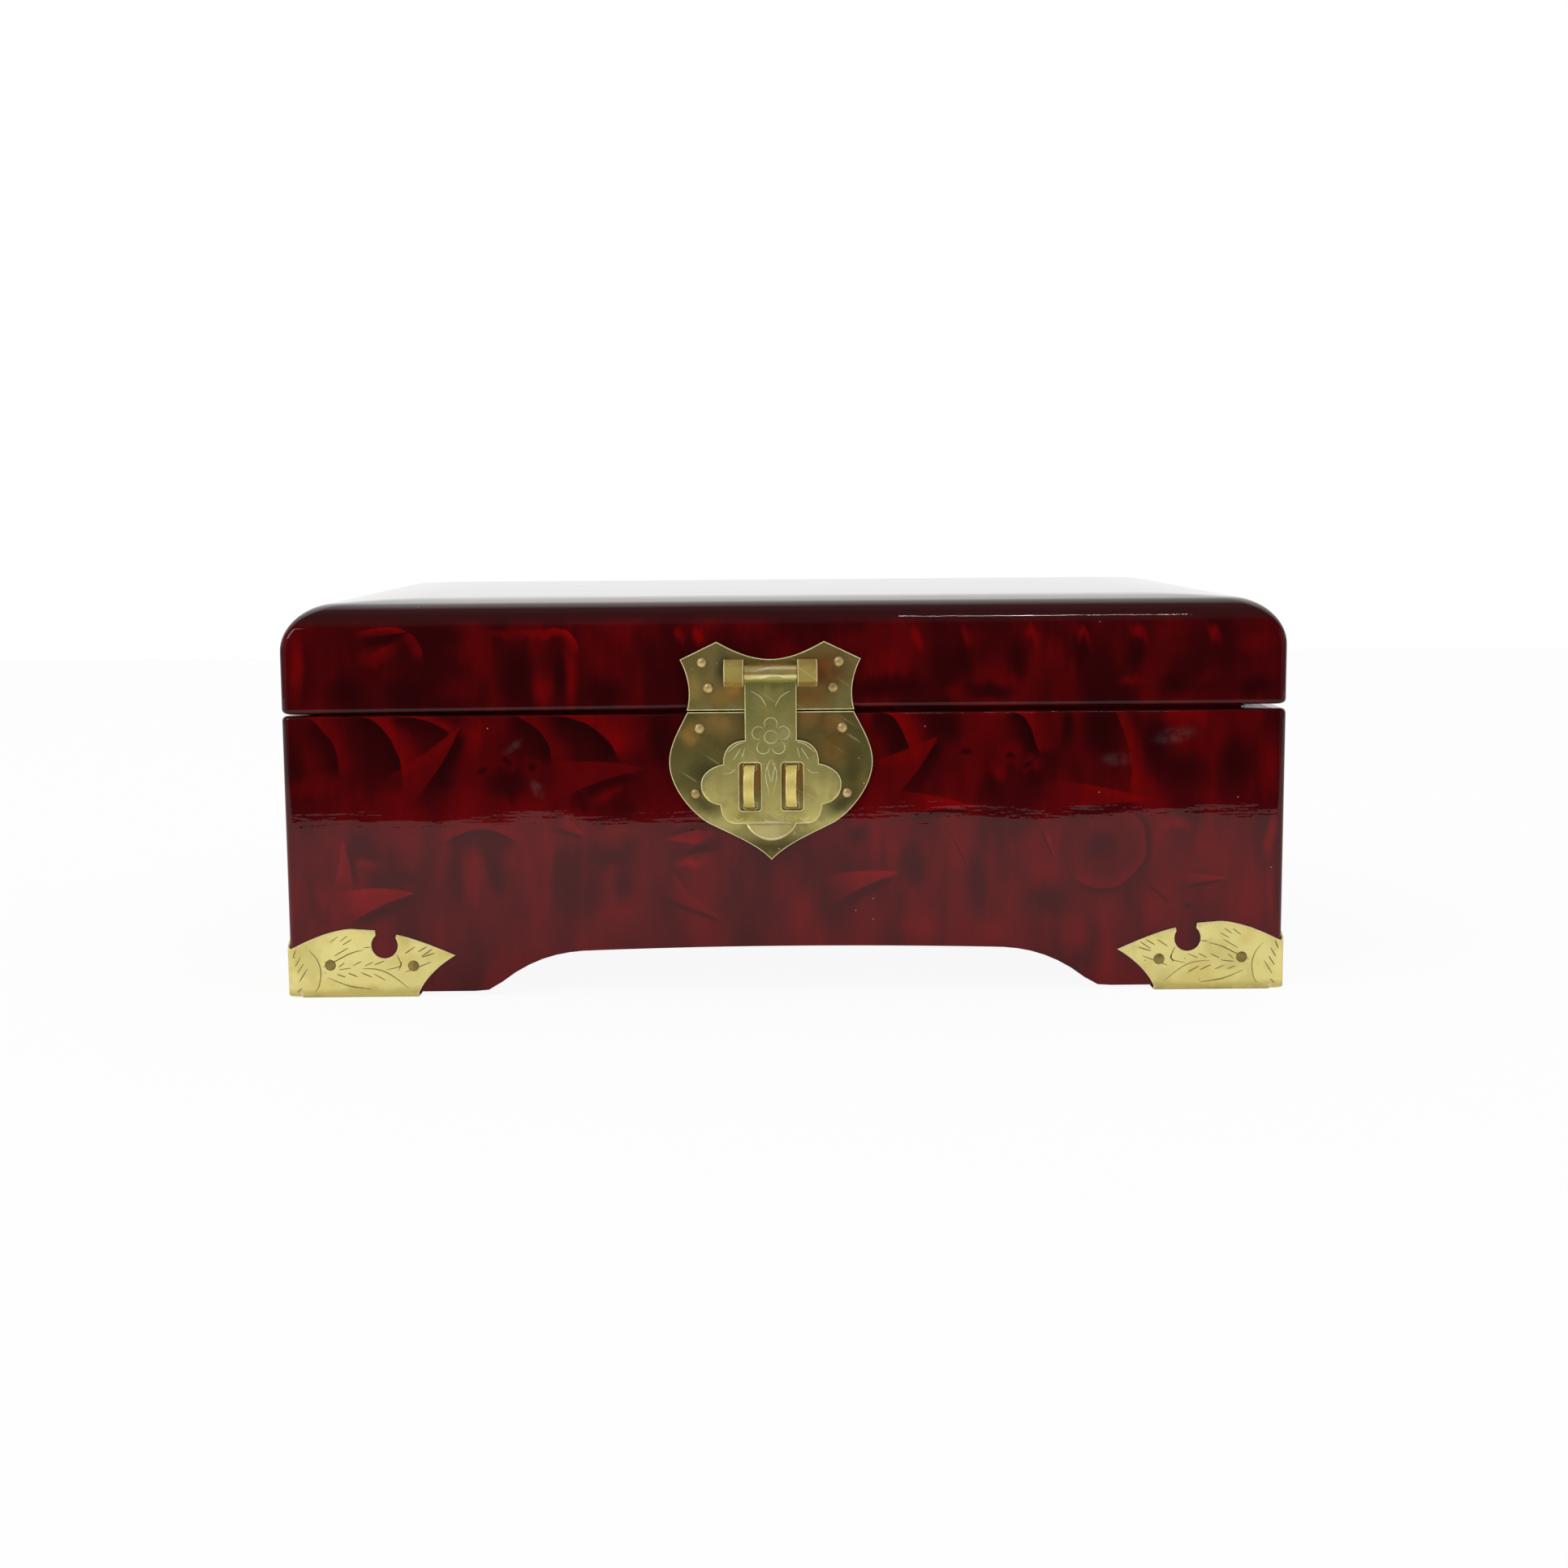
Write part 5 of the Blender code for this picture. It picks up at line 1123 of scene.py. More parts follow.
def build_base_shell(materials):
    """The four walls as one lacquered shell, with apron cut-outs, eased edges and the board's groove."""
    low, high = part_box("base_front_wall")
    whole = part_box("lid_top_board")[1]
    half_x, half_y = whole.x, whole.y
    foot, rim = low.z, high.z
    board_low, board_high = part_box("bottom_board")
    groove_low, groove_high = board_low.z - SEAT_GAP, board_high.z + SEAT_GAP
    groove_back = half_x - board_high.x - SEAT_GAP
    section = arc_rows(FOOT_RADIUS, foot + FOOT_RADIUS, FOOT_RADIUS, 270, 180, 3)
    section += [(0.0, foot + (groove_low - foot) * k / 4) for k in (1, 2, 3, 4)]
    section += [(0.0, groove_low + (rim - RIM_RADIUS - groove_low) * k / 5) for k in (1, 2, 3, 4, 5)]
    section += arc_rows(RIM_RADIUS, rim - RIM_RADIUS, RIM_RADIUS, 180, 90, 5)[1:]
    section += arc_rows(WALL - FOOT_RADIUS, rim - FOOT_RADIUS, FOOT_RADIUS, 90, 0, 3)
    section += [(WALL, groove_high), (groove_back, groove_high)]
    section += [(groove_back, groove_low), (WALL, groove_low)]
    section += arc_rows(WALL - FOOT_RADIUS, foot + FOOT_RADIUS, FOOT_RADIUS, 0, -90, 3)
    curve = apron_heights()
    rows = []
    for inset, height in section:
        share = max(0.0, (groove_low - height) / (groove_low - foot))
        corner = max(CORNER_RADIUS - inset, INNER_RADIUS)
        row = []
        for x, y, crosswise, along in loop_around(half_x, half_y, inset, corner):
            trim = SHORT_FOOT_TRIM if y < 0 < x and not crosswise else 0.0
            rise = apron_rise(along, half_y if crosswise else half_x, curve, trim)
            row.append((x, y, height + rise * share))
        rows.append(row)
    bm = skinned(rows, closed=True)
    mark_front(bm, 1, 2)
    add_piece("lacquered_case", bm, "base", materials, [f"base_{side}_wall" for side in SIDES])


def build_lid_shell(materials):
    """Rails and top board as one lacquered shell, its top edges rounded over into a low crown."""
    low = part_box("lid_front_rail")[0]
    top_low, top_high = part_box("lid_top_board")
    half_x, half_y = top_high.x, top_high.y
    under, ceiling, top = low.z, top_low.z, top_high.z
    inner = arc_rows(WALL - FOOT_RADIUS, under + FOOT_RADIUS, FOOT_RADIUS, 0, -90, 3)
    outer = arc_rows(RIM_RADIUS, under + RIM_RADIUS, RIM_RADIUS, 270, 180, 4)
    sweep = math.pi / 2 - math.atan(2 * LID_CROWN_DROP / LID_CROWN_RUN)
    start = top - LID_CROWN_DROP - LID_EDGE_RADIUS * math.sin(sweep)
    section = [(inset, height, INNER_RADIUS) for inset, height in [(WALL, ceiling), *inner]]
    section += [(inset, height, CORNER_RADIUS) for inset, height in outer]
    section += [(0.0, under + (start - under) * k / 3, CORNER_RADIUS) for k in (1, 2)]
    for k in range(EDGE_STEPS + 1):
        angle = sweep * k / EDGE_STEPS
        share = 1 - math.cos(angle)
        height = start + LID_EDGE_RADIUS * math.sin(angle)
        corner = CORNER_RADIUS + (LID_TOP_CORNER_RADIUS - CORNER_RADIUS) * share
        section.append((LID_EDGE_RADIUS * share, height, corner))
    edge_inset, _, edge_corner = section[-1]
    for k in range(1, CROWN_STEPS + 1):
        share = k / CROWN_STEPS
        height = top - LID_CROWN_DROP * (1 - share) ** 2
        section.append((edge_inset + LID_CROWN_RUN * share, height, edge_corner))
    rows = []
    for inset, height, corner in section:
        sag = LID_RIM_SAG * min(1.0, max(0.0, (start - height) / (start - under)))
        loop = loop_around(half_x, half_y, inset, corner)
        rows.append([(x, y, height - sag * max(0.0, -x / half_x)) for x, y, _, _ in loop])
    bm = skinned(rows)
    mark_front(bm, 1, 1)
    nodes = [f"lid_{side}_rail" for side in SIDES] + ["lid_top_board"]
    add_piece("lacquered_lid", bm, "lid", materials, nodes)


def mount_outline():
    """Flat pattern of a corner mount, with its notches and the flaps that fold under."""
    half = trace(MOUNT_TOP_SHARES, MOUNT_REACH, MOUNT_HEIGHT)
    centre = (NOTCH_PLACE_SHARES[0] * MOUNT_REACH, NOTCH_PLACE_SHARES[1] * MOUNT_HEIGHT)
    turns = [NOTCH_START_DEG + NOTCH_SWEEP_DEG * k / NOTCH_STEPS for k in range(NOTCH_STEPS + 1)]
    half += arc(centre, NOTCH_RADIUS, [math.radians(turn) for turn in turns])
    half += trace(MOUNT_TIP_SHARES, MOUNT_REACH, MOUNT_HEIGHT)
    slit = FLAP_RELIEF - MOUNT_SEAT
    half += [(half[-1][0], -FLAP_LENGTH), (FLAP_RELIEF + FLAP_LENGTH, -FLAP_LENGTH)]
    half += [(FLAP_RELIEF, -CORNER_LIP), (FLAP_RELIEF, 0.0)]
    half += [(slit, 0.0), (slit, -CORNER_LIP), (0.0, -CORNER_LIP)]
    return mirrored(half)


def mount_form(foot):
    """Bends a mount round a corner at the origin and under the foot, down to the floor."""
    half_arc = math.pi / 4 * (CORNER_RADIUS + MOUNT_SEAT)
    fold_arc = math.pi / 2 * SEAT_GAP
    under = foot - MOUNT_SHEET

    def form(u, v, w):
        out, drop, inward = MOUNT_SEAT + w, 0.0, 0.0
        if abs(u) < FLAP_RELIEF:
            drop = max(-v, 0.0)
        elif v < -fold_arc:
            out, drop, inward = 0.0, under + w, -v - fold_arc
        elif v < 0:
            angle = math.pi / 2 * -v / fold_arc
            out, drop = (MOUNT_SEAT + w) * math.cos(angle), (under + w) * math.sin(angle)
        height = foot + max(v, 0.0) - drop
        offset = out - inward
        if abs(u) <= half_arc:
            angle = math.pi / 4 * (1 - u / half_arc)
            radius = CORNER_RADIUS + offset
            x, y = CORNER_RADIUS - radius * math.sin(angle), CORNER_RADIUS - radius * math.cos(angle)
            return Vector((x, y, height))
        if u > 0:
            return Vector((CORNER_RADIUS + u - half_arc, -offset, height))
        return Vector((-offset, CORNER_RADIUS - u - half_arc, height))

    creases = [
        ((half_arc * k / CORNER_STEPS, 0, 0), (1, 0, 0))
        for k in range(-CORNER_STEPS, CORNER_STEPS + 1)]
    creases += [((0, 0, -fold_arc * k / FOLD_STEPS), (0, 0, 1)) for k in range(FOLD_STEPS + 1)]
    return form, creases


def build_corner_mounts(metals):
    """Engraved sheet brass, folded round each corner and under the foot, and nailed."""
    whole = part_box("lid_top_board")[1]
    form, creases = mount_form(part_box("base_front_wall")[0].z)
    draw = random.Random(MOUNT_DRAW_SEED)
    corners = (("front_left", -1, -1), ("front_right", 1, -1), ("back_right", 1, 1), ("back_left", -1, 1))
    for quarter, (name, side_x, side_y) in enumerate(corners):
        bm = sheet_metal(mount_outline(), [], MOUNT_SHEET, creases)
        for place in both_sides(MOUNT_NAIL_SHARES, MOUNT_REACH, MOUNT_HEIGHT):
            add_nail(bm, place, MOUNT_NAIL_RADIUS, MOUNT_NAIL_HEIGHT, MOUNT_SHEET)
        for side in (-1, 1):
            for stroke in MOUNT_STROKE_SHARES:
                sway = [draw.uniform(-MOUNT_STROKE_SWAY, MOUNT_STROKE_SWAY) for _ in range(2)]
                line = [
                    (side * u * MOUNT_REACH + sway[0], max(v * MOUNT_HEIGHT + sway[1], MOUNT_STROKE_FLOOR))
                    for u, v in stroke]
                add_stroke(bm, line, MOUNT_STROKE_WIDTH * draw.uniform(*MOUNT_STROKE_SPREAD), MOUNT_SHEET)
        formed(bm, form)
        place = Matrix.Translation((side_x * whole.x, side_y * whole.y, 0))
        bm.transform(place @ Matrix.Rotation(quarter * math.pi / 2, 4, "Z"))
        node = f"corner_mount_{name}"
        add_piece(f"{node}_engraved", bm, "base", metals, [node])


def build_plate(name, node, body, metals, shares, nail_shares, upwards, slits=()):
    """One half of the shield with its domed nails."""
    low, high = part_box(node)
    clasp, width, height = (low.x + high.x) / 2, (high.x - low.x) / 2, high.z - low.z
    edge, reach = (low.z, height) if upwards else (high.z, -height)

    def form(u, v, w):
        return Vector((clasp + u, high.y - w, edge + v))

    bm = sheet_metal(mirrored(trace(shares, width, reach)), slits, PLATE_SHEET)
    add_piece(name, formed(bm, form), body, metals, [node])
    bm = bmesh.new()
    for place in both_sides(nail_shares, width, reach):
        add_nail(bm, place, DOME_NAIL_RADIUS, DOME_NAIL_HEIGHT, PLATE_SHEET)
    nails = [f"{node.replace('lock_plate', 'plate_nail')}_{k}" for k in range(1, 5)]
    add_piece(f"{name}_nails", formed(bm, form), body, metals, nails)


def build_lock(metals):
    """The shield plates, the staples, and the lugs that carry the hasp's pin."""
    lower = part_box("lower_lock_plate")
    clasp = (lower[0].x + lower[1].x) / 2
    slits = []
    clear = STAPLE_CLEARANCE
    for side in ("left", "right"):
        low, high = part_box(f"lock_staple_{side}")
        width, height = high.x - low.x + 2 * clear, STAPLE_STRAP + 2 * clear
        for middle in (low.z + STAPLE_STRAP / 2, high.z - STAPLE_STRAP / 2):
            centre = ((low.x + high.x) / 2 - clasp, middle - lower[1].z)
            slits.append(rounded_rectangle(centre, width, height, clear))
    build_plate("shield_lower", "lower_lock_plate", "base", metals["lower"], LOWER_PLATE_SHARES,
                LOWER_NAIL_SHARES, False, slits)
    build_plate("shield_upper", "upper_lock_plate", "lid", metals["upper"], UPPER_PLATE_SHARES,
                UPPER_NAIL_SHARES, True)
    for side in ("left", "right"):
        build_staple(side, metals["bright"], lower[0].y)
        build_lug(side, metals["lug"])
    add_pin("hasp_pin_turned", "hasp_pin", "lid", metals["lug"])


def half_ring(reach, half):
    """(y, z) points on a half ellipse that bulges to the front, from its top to its bottom."""
    angles = [math.pi * k / STAPLE_STEPS for k in range(STAPLE_STEPS + 1)]
    return [(-reach * math.sin(a), half * math.cos(a)) for a in angles]


def build_staple(side, metals, plate_front):
    """A bent strap that stands out of the plate, its ends sunk through it."""
    low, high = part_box(f"lock_staple_{side}")
    centre = Vector(((low.x + high.x) / 2, plate_front, (low.z + high.z) / 2))
    half, reach, sunk = (high.z - low.z) / 2, plate_front - low.y, high.y - plate_front
    inner = half_ring(reach - STAPLE_STRAP, half - STAPLE_STRAP)
    section = [(sunk, half), *half_ring(reach, half), (sunk, -half), (sunk, STAPLE_STRAP - half)]
    section += [*reversed(inner), (sunk, half - STAPLE_STRAP)]
    build_strap(f"staple_{side}", f"lock_staple_{side}", "base", metals, section, centre, STAPLE_TWIST_DEG)


def build_lug(side, metals):
    """A strap bent round the hasp's pin, its feet on the upper plate."""
    low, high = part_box(f"hasp_lug_{side}")
    pin_low, pin_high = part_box("hasp_pin")
    axis = (pin_low + pin_high) / 2
    centre = Vector(((low.x + high.x) / 2, axis.y, axis.z))
    foot = high.y - axis.y
    waist = ((foot + SEAT_GAP) * LUG_WAIST_SHARES[1], -LUG_WAIST_SHARES[0] * LUG_HALF_HEIGHT)
    outer = [(foot, -LUG_HALF_HEIGHT), waist, (-PIN_BORE - LUG_STRAP, -LUG_FACE_HALF_HEIGHT)]
    outer += [(y, -z) for y, z in reversed(outer)]
    section = [*outer, (foot, PIN_BORE), *half_ring(PIN_BORE, PIN_BORE), (foot, -PIN_BORE)]
    build_strap(f"lug_{side}", f"hasp_lug_{side}", "lid", metals, section, centre)


def build_strap(name, node, body, metals, section, centre, twist_deg=0.0):
    """A strap cut to a (y, z) section, its rims rubbed, as wide as its solid and perhaps twisted."""
    low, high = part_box(node)
    width = high.x - low.x
    bm = sheet_metal(section, [], width, both=True)
    twist = Matrix.Rotation(math.radians(twist_deg), 3, "Z")
    formed(bm, lambda u, v, w: centre + twist @ Vector((w - width / 2, u, v)))
    add_piece(name, bm, body, metals, [node])


def build_hasp(metals):
    """The hasp, rolled round its pin at the top, engraved, and its tab folded out."""
    low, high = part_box("hasp_pin")
    axis = (low + high) / 2
    roll_length, creases = roll_creases(ROLL_RADIUS, HASP_SHEET)
    half = trace(CLOUD_SHARES, HASP_HALF_WIDTH, -HASP_DROP, (STRAP_SHARE * HASP_HALF_WIDTH, roll_length))
    slots = [
        rounded_rectangle((side * SLOT_SPACING / 2, -SLOT_DROP), SLOT_WIDTH, SLOT_HEIGHT, SLOT_CORNER)
        for side in (-1, 1)
    ]
    tab = math.radians(TAB_ANGLE_DEG)
    middle = TAB_FOLD_RADIUS - HASP_SHEET / 2
    creases += [
        ((0, 0, -HASP_DROP - middle * tab * k / TAB_FOLD_STEPS), (0, 0, 1))
        for k in range(TAB_FOLD_STEPS + 1)]
    roll = rolled(ROLL_RADIUS, HASP_SHEET)

    def form(u, v, w):
        past = -v - HASP_DROP
        if past <= 0:
            return axis + roll(u, v, w)
        angle = min(past / middle, tab)
        beyond = past - angle * middle
        y = ROLL_RADIUS - TAB_FOLD_RADIUS + (TAB_FOLD_RADIUS - w) * math.cos(angle) - beyond * math.sin(tab)
        z = -HASP_DROP - (TAB_FOLD_RADIUS - w) * math.sin(angle) - beyond * math.cos(tab)
        return axis + Vector((u, y, z))

    bm = sheet_metal(mirrored(half), slots, HASP_SHEET, creases)
    for side in (-1, 1):
        for stroke in HASP_STROKE_SHARES:
            line = [(side * u * HASP_HALF_WIDTH, -v * HASP_DROP) for u, v in stroke]
            add_stroke(bm, line, HASP_STROKE_WIDTH, HASP_SHEET)
    blossom = (0.0, -BLOSSOM_SHARE * HASP_DROP)
    for k in range(PETALS):
        turn = math.pi / 2 + math.tau * k / PETALS
        centre = arc(blossom, PETAL_REACH, [turn])[0]
        petal = arc(centre, PETAL_RADIUS, [turn + PETAL_HALF_SWEEP * (j / 5 - 1) for j in range(11)])
        add_stroke(bm, petal, HASP_STROKE_WIDTH, HASP_SHEET)
    ring = circle(blossom, PETAL_RADIUS, 12)
    add_stroke(bm, ring + ring[:1], HASP_STROKE_WIDTH, HASP_SHEET)
    add_piece("hasp_engraved", formed(bm, form), "hasp", metals, ["hasp"])


def leaf_outline(half, fingers, roll_length):
    """Flat pattern of a hinge leaf: a plate with round lower corners and knuckle straps."""
    root = -(HINGE_ROLL_RADIUS + KNUCKLE_GAP)
    middle = (0, (root - HINGE_LEAF_LENGTH) / 2)
    lower = rounded_rectangle(middle, 2 * half, HINGE_LEAF_LENGTH + root, HINGE_LEAF_CORNER)
    corner = len(lower) // 4
    points = lower[-corner:] + lower[:corner]
    tops = []
    for low, high in fingers:
        tops += [(high, root), (high, roll_length), (low, roll_length), (low, root)]
    if half - fingers[0][1] < KNUCKLE_GAP:
        return points + tops[1:-1]
    return points + [(half, root)] + tops + [(-half, root)]


def build_rear_hinges(metals):
    """Two butt hinges on the back: rolled leaves on a pin, nailed to base and lid."""
    roll_length, creases = roll_creases(HINGE_ROLL_RADIUS, HINGE_SHEET)
    form = rolled(HINGE_ROLL_RADIUS, HINGE_SHEET)
    for side in ("left", "right"):
        low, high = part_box(f"rear_hinge_{side}_pin")
        axis, half = (low + high) / 2, (high.x - low.x) / 2
        pitch = 2 * half / HINGE_KNUCKLES
        knuckles = []
        for k in range(HINGE_KNUCKLES):
            top = half - k * pitch - (KNUCKLE_GAP / 2 if k > 0 else 0.0)
            bottom = half - (k + 1) * pitch + (KNUCKLE_GAP / 2 if k < HINGE_KNUCKLES - 1 else 0.0)
            knuckles.append((bottom, top))
        leaves_made = (("base", knuckles[0::2], (-1, -1, 1)), ("lid", knuckles[1::2], (1, -1, -1)))
        for body, fingers, signs in leaves_made:
            bm = sheet_metal(leaf_outline(half, fingers, roll_length), [], HINGE_SHEET, creases)
            for u, v in HINGE_NAIL_SHARES:
                place = (u * half, -v * HINGE_LEAF_LENGTH)
                add_nail(bm, place, DOME_NAIL_RADIUS, DOME_NAIL_HEIGHT, HINGE_SHEET)
            formed(bm, form)
            bm.transform(Matrix.Translation(axis) @ Matrix.Diagonal((*signs, 1)))
            node = f"rear_hinge_{side}_{body}_leaf"
            add_piece(f"{node}_rolled", bm, body, metals, [node])
        add_pin(f"rear_hinge_{side}_turned_pin", f"rear_hinge_{side}_pin", "base", metals)


def level_loop(whole, inset, corner, height):
    """A level ring of points, inset from the whole's corner place."""
    return [(x, y, height) for x, y, _, _ in loop_around(whole.x, whole.y, inset, corner)]


def add_frame(name, nodes, body, material, section, corner):
    """A closed frame round the inside of the case, from (inset, height) points of its section."""
    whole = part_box("lid_top_board")[1]
    bm = skinned([level_loop(whole, inset, corner, height) for inset, height in section], closed=True)
    add_piece(name, bm, body, [material], nodes)


def add_slab(name, node, body, material, edge, corner=SLAB_CORNER):
    """A flat board or sheet with rounded edges, as large as its solid."""
    low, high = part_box(node)
    section = arc_rows(edge, low.z + edge, edge, 270, 180, 4)
    section += arc_rows(edge, high.z - edge, edge, 180, 90, 4)
    rows = [level_loop(high, inset, max(corner - inset, edge / 2), height) for inset, height in section]
    add_piece(name, skinned(rows), body, [material], [node])


def add_board(name, node, body, material, notched=False):
    """A cloth-covered board with a rounded top edge, and a finger notch where it has one."""
    low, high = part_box(node)
    size = high - low
    centre = (low + high) / 2
    along_x = size.x > size.y
    length, half = (size.x, size.y / 2) if along_x else (size.y, size.x / 2)
    height = size.z
    section = [(BOARD_EDGE / 2 - half, 0.0), (half - BOARD_EDGE / 2, 0.0), (half, BOARD_EDGE / 2)]
    section += [(-half * u, height - half + half * v) for u, v in circle((0, 0), 1.0, 20)[10::-1]]
    section.append((-half, BOARD_EDGE / 2))
    ends = [(BOARD_EDGE * run, BOARD_EDGE * inset) for run, inset in BOARD_END_SHARES]
    inner = length - 2 * BOARD_EDGE
    count = max(4, int(length / BOARD_PITCH))
    stations = ends + [(BOARD_EDGE + inner * k / count, 0.0) for k in range(1, count)]
    stations += [(length - run, inset) for run, inset in reversed(ends)]
    rows = []
    for run, inset in stations:
        along = run - length / 2
        dip = 0.0
        if notched and abs(along) < NOTCH_HALF_WIDTH:
            dip = NOTCH_DEPTH * (0.5 + 0.5 * math.cos(math.pi * along / NOTCH_HALF_WIDTH))
        row = []
        for across, rise in section:
            across *= 1 - inset / half
            rise = inset + rise * (height - dip - 2 * inset) / height
            x, y = (along, across) if along_x else (across, along)
            row.append((centre.x + x, centre.y + y, low.z + rise))
        rows.append(row)
    add_piece(name, skinned(rows), body, [material], [node])


def build_lining(cloth):
    """Cloth-covered lining that stands proud of the rim, the floor pad and the tray's ledges."""
    low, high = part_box("front_lining_board")
    outer = WALL + SEAT_GAP
    inner = outer + high.y - low.y
    bend, top = LINING_ROUND, high.z - LINING_ROUND
    section = [(inner - bend * 0.3, low.z), (inner, low.z + bend * 0.3)]
    section += arc_rows(inner - bend, top, bend, 0, 90, 6) + arc_rows(outer + bend, top, bend, 90, 180, 6)
    section.append((outer, low.z))
    boards = [f"{side}_lining_board" for side in SIDES]
    add_frame("lining_cloth", boards, "base", cloth, section, LINING_CORNER)
    for side in ("left", "right"):
        add_board(f"tray_ledge_{side}_covered", f"tray_ledge_{side}", "base", cloth)
    build_floor_pad(cloth)


def build_floor_pad(cloth):
    """A thin cushion with a crowned top, drawn down along its edges."""
    low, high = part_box("floor_pad")
    thick = high.z - low.z
    section = list(PAD_FOOT_ROWS)
    edge_inset, edge_rise = PAD_FOOT_ROWS[-1]
    for k in range(1, PAD_STEPS + 1):
        share = k / PAD_STEPS
        rise = edge_rise + PAD_RISE * math.sin(math.pi / 2 * share)
        section.append((edge_inset + PAD_SLOPE * share, rise))
    section += PAD_MIDDLE_ROWS
    fine, coarse = PAD_PUCKER_WAVES
    drawn_from, drawn_to = PAD_PUCKER_SHARES
    rows = []
    for inset, share in section:
        row = []
        for x, y, _, along in loop_around(high.x, high.y, inset, PAD_CORNER):
            pucker = math.sin(along * fine) * math.sin(along * coarse + 1.0) * PAD_PUCKER
            drawn = pucker if drawn_from < share < drawn_to else 0.0
            row.append((x, y, low.z + thick * min(1.0, share + drawn)))
        rows.append(row)
    pad = add_piece(
        "floor_cushion", skinned(rows), "base", [cloth], ["floor_pad"], CUSHION_SMOOTH_DEG)


def build_ring_rolls(velvet):
    """Padded rolls sewn side by side: round crowns, sewn valleys, ends drawn in."""
    low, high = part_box("ring_rolls")
    length, depth, height = high.x - low.x, high.y - low.y, high.z - low.z
    width = depth / RING_ROLLS
    top = []
    for roll in range(RING_ROLLS):
        for k in range(ROLL_SIDES if roll == RING_ROLLS - 1 else ROLL_SIDES - 1):
            angle = math.pi * k / (ROLL_SIDES - 1)
            y = (roll + 0.5) * width - width / 2 * math.cos(angle)
            top.append((y, math.sin(angle), roll))
    fine, coarse = ROLL_RIPPLE_WAVES
    rows = []
    for k in range(ROLL_STATIONS + 1):
        run = length * k / ROLL_STATIONS
        from_end = min(1.0, min(run, length - run) / ROLL_END_RUN)
        rounded = math.sin(math.pi / 2 * from_end) ** ROLL_END_POWER
        drawn = ROLL_END_SHARE + (1 - ROLL_END_SHARE) * rounded
        row = [(low.x + run, low.y, low.z)]
        for y, crown, roll in top:
            wave = math.sin(run * fine + roll * 2.1) * math.sin(run * coarse + roll)
            full = crown ** ROLL_CROWN_POWER + ROLL_RIPPLE * wave * (1 - crown)
            rise = ROLL_VALLEY_SHARE + (1 - ROLL_VALLEY_SHARE) * full * ROLL_FULLNESS
            row.append((low.x + run, low.y + y, low.z + height * rise * drawn))
        row.append((low.x + run, high.y, low.z))
        rows.append(row)
    rolls = add_piece(
        "ring_cushion", skinned(rows), "tray", [velvet], ["ring_rolls"], CUSHION_SMOOTH_DEG)


def build_tray(cloth, velvet):
    """The lift-out tray: covered walls with finger notches, floor, dividers and ring rolls."""
    for side in ("front", "back", "left", "right"):
        notched = side in ("left", "right")
        add_board(f"tray_{side}_covered", f"tray_{side}_wall", "tray", cloth, notched)
    add_slab("tray_floor_covered", "tray_floor", "tray", cloth, edge=0.0004)
    for divider in ("long_divider", *(f"short_divider_{k}" for k in (1, 2, 3))):
        add_board(f"tray_{divider}_covered", f"tray_{divider}", "tray", cloth)
    build_ring_rolls(velvet)


def build_mirror(frame_wood, card, glass):
    """Mirror under the lid's top board, in its moulded frame."""
    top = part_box("mirror_backing")[1].z
    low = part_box("mirror_frame_front")[0].z
    glass_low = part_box("mirror_glass")[0].z
    outer = WALL + FRAME_INSET
    inner = outer + FRAME_WIDTH
    step = inner - FRAME_REBATE
    lip = glass_low - SEAT_GAP
    bead, fine = FRAME_ROUND, FRAME_ROUND * FRAME_INNER_SHARE
    section = [(outer, top)]
    section += arc_rows(outer + bead, low + bead, bead, 180, 270, 8)
    section += arc_rows(inner - fine, low + fine, fine, 270, 360, 5)
    section += [(inner, lip), (step, lip), (step, top)]
    nodes = [f"mirror_frame_{side}" for side in SIDES]
    add_frame("mirror_moulding", nodes, "lid", frame_wood, section, FRAME_CORNER)
    add_slab("mirror_card", "mirror_backing", "lid", card, edge=0.0002)
    add_slab("mirror_plate", "mirror_glass", "lid", glass, edge=0.0003)


def build_stage():
    """A pale table that ends in front of the box, and a plain white surround."""
    front, back, side = TABLE_FRONT, TABLE_BACK, TABLE_SIDE
    corners = ((-side, front, 0.0), (side, front, 0.0), (side, back, 0.0), (-side, back, 0.0))
    mesh = bpy.data.meshes.new("table")
    mesh.from_pydata(corners, [], [(0, 1, 2, 3)])
    table = bpy.data.objects.new("table", mesh)
    bpy.context.scene.collection.objects.link(table)
    g = Graph("table_white")
    seen = g.add("LightPath").outputs["Is Camera Ray"]
    diffuse = g.add("BsdfDiffuse", Color=(0.84, 0.84, 0.83)).outputs[0]
    glow = g.add("Emission", Color=(1.0, 1.0, 1.0), Strength=1.0).outputs[0]
    both = g.add("MixShader", Fac=g.times(seen, 0.93))
    g.feed(diffuse, both.inputs[1])
    g.feed(glow, both.inputs[2])
    mesh.materials.append(g.show(both))


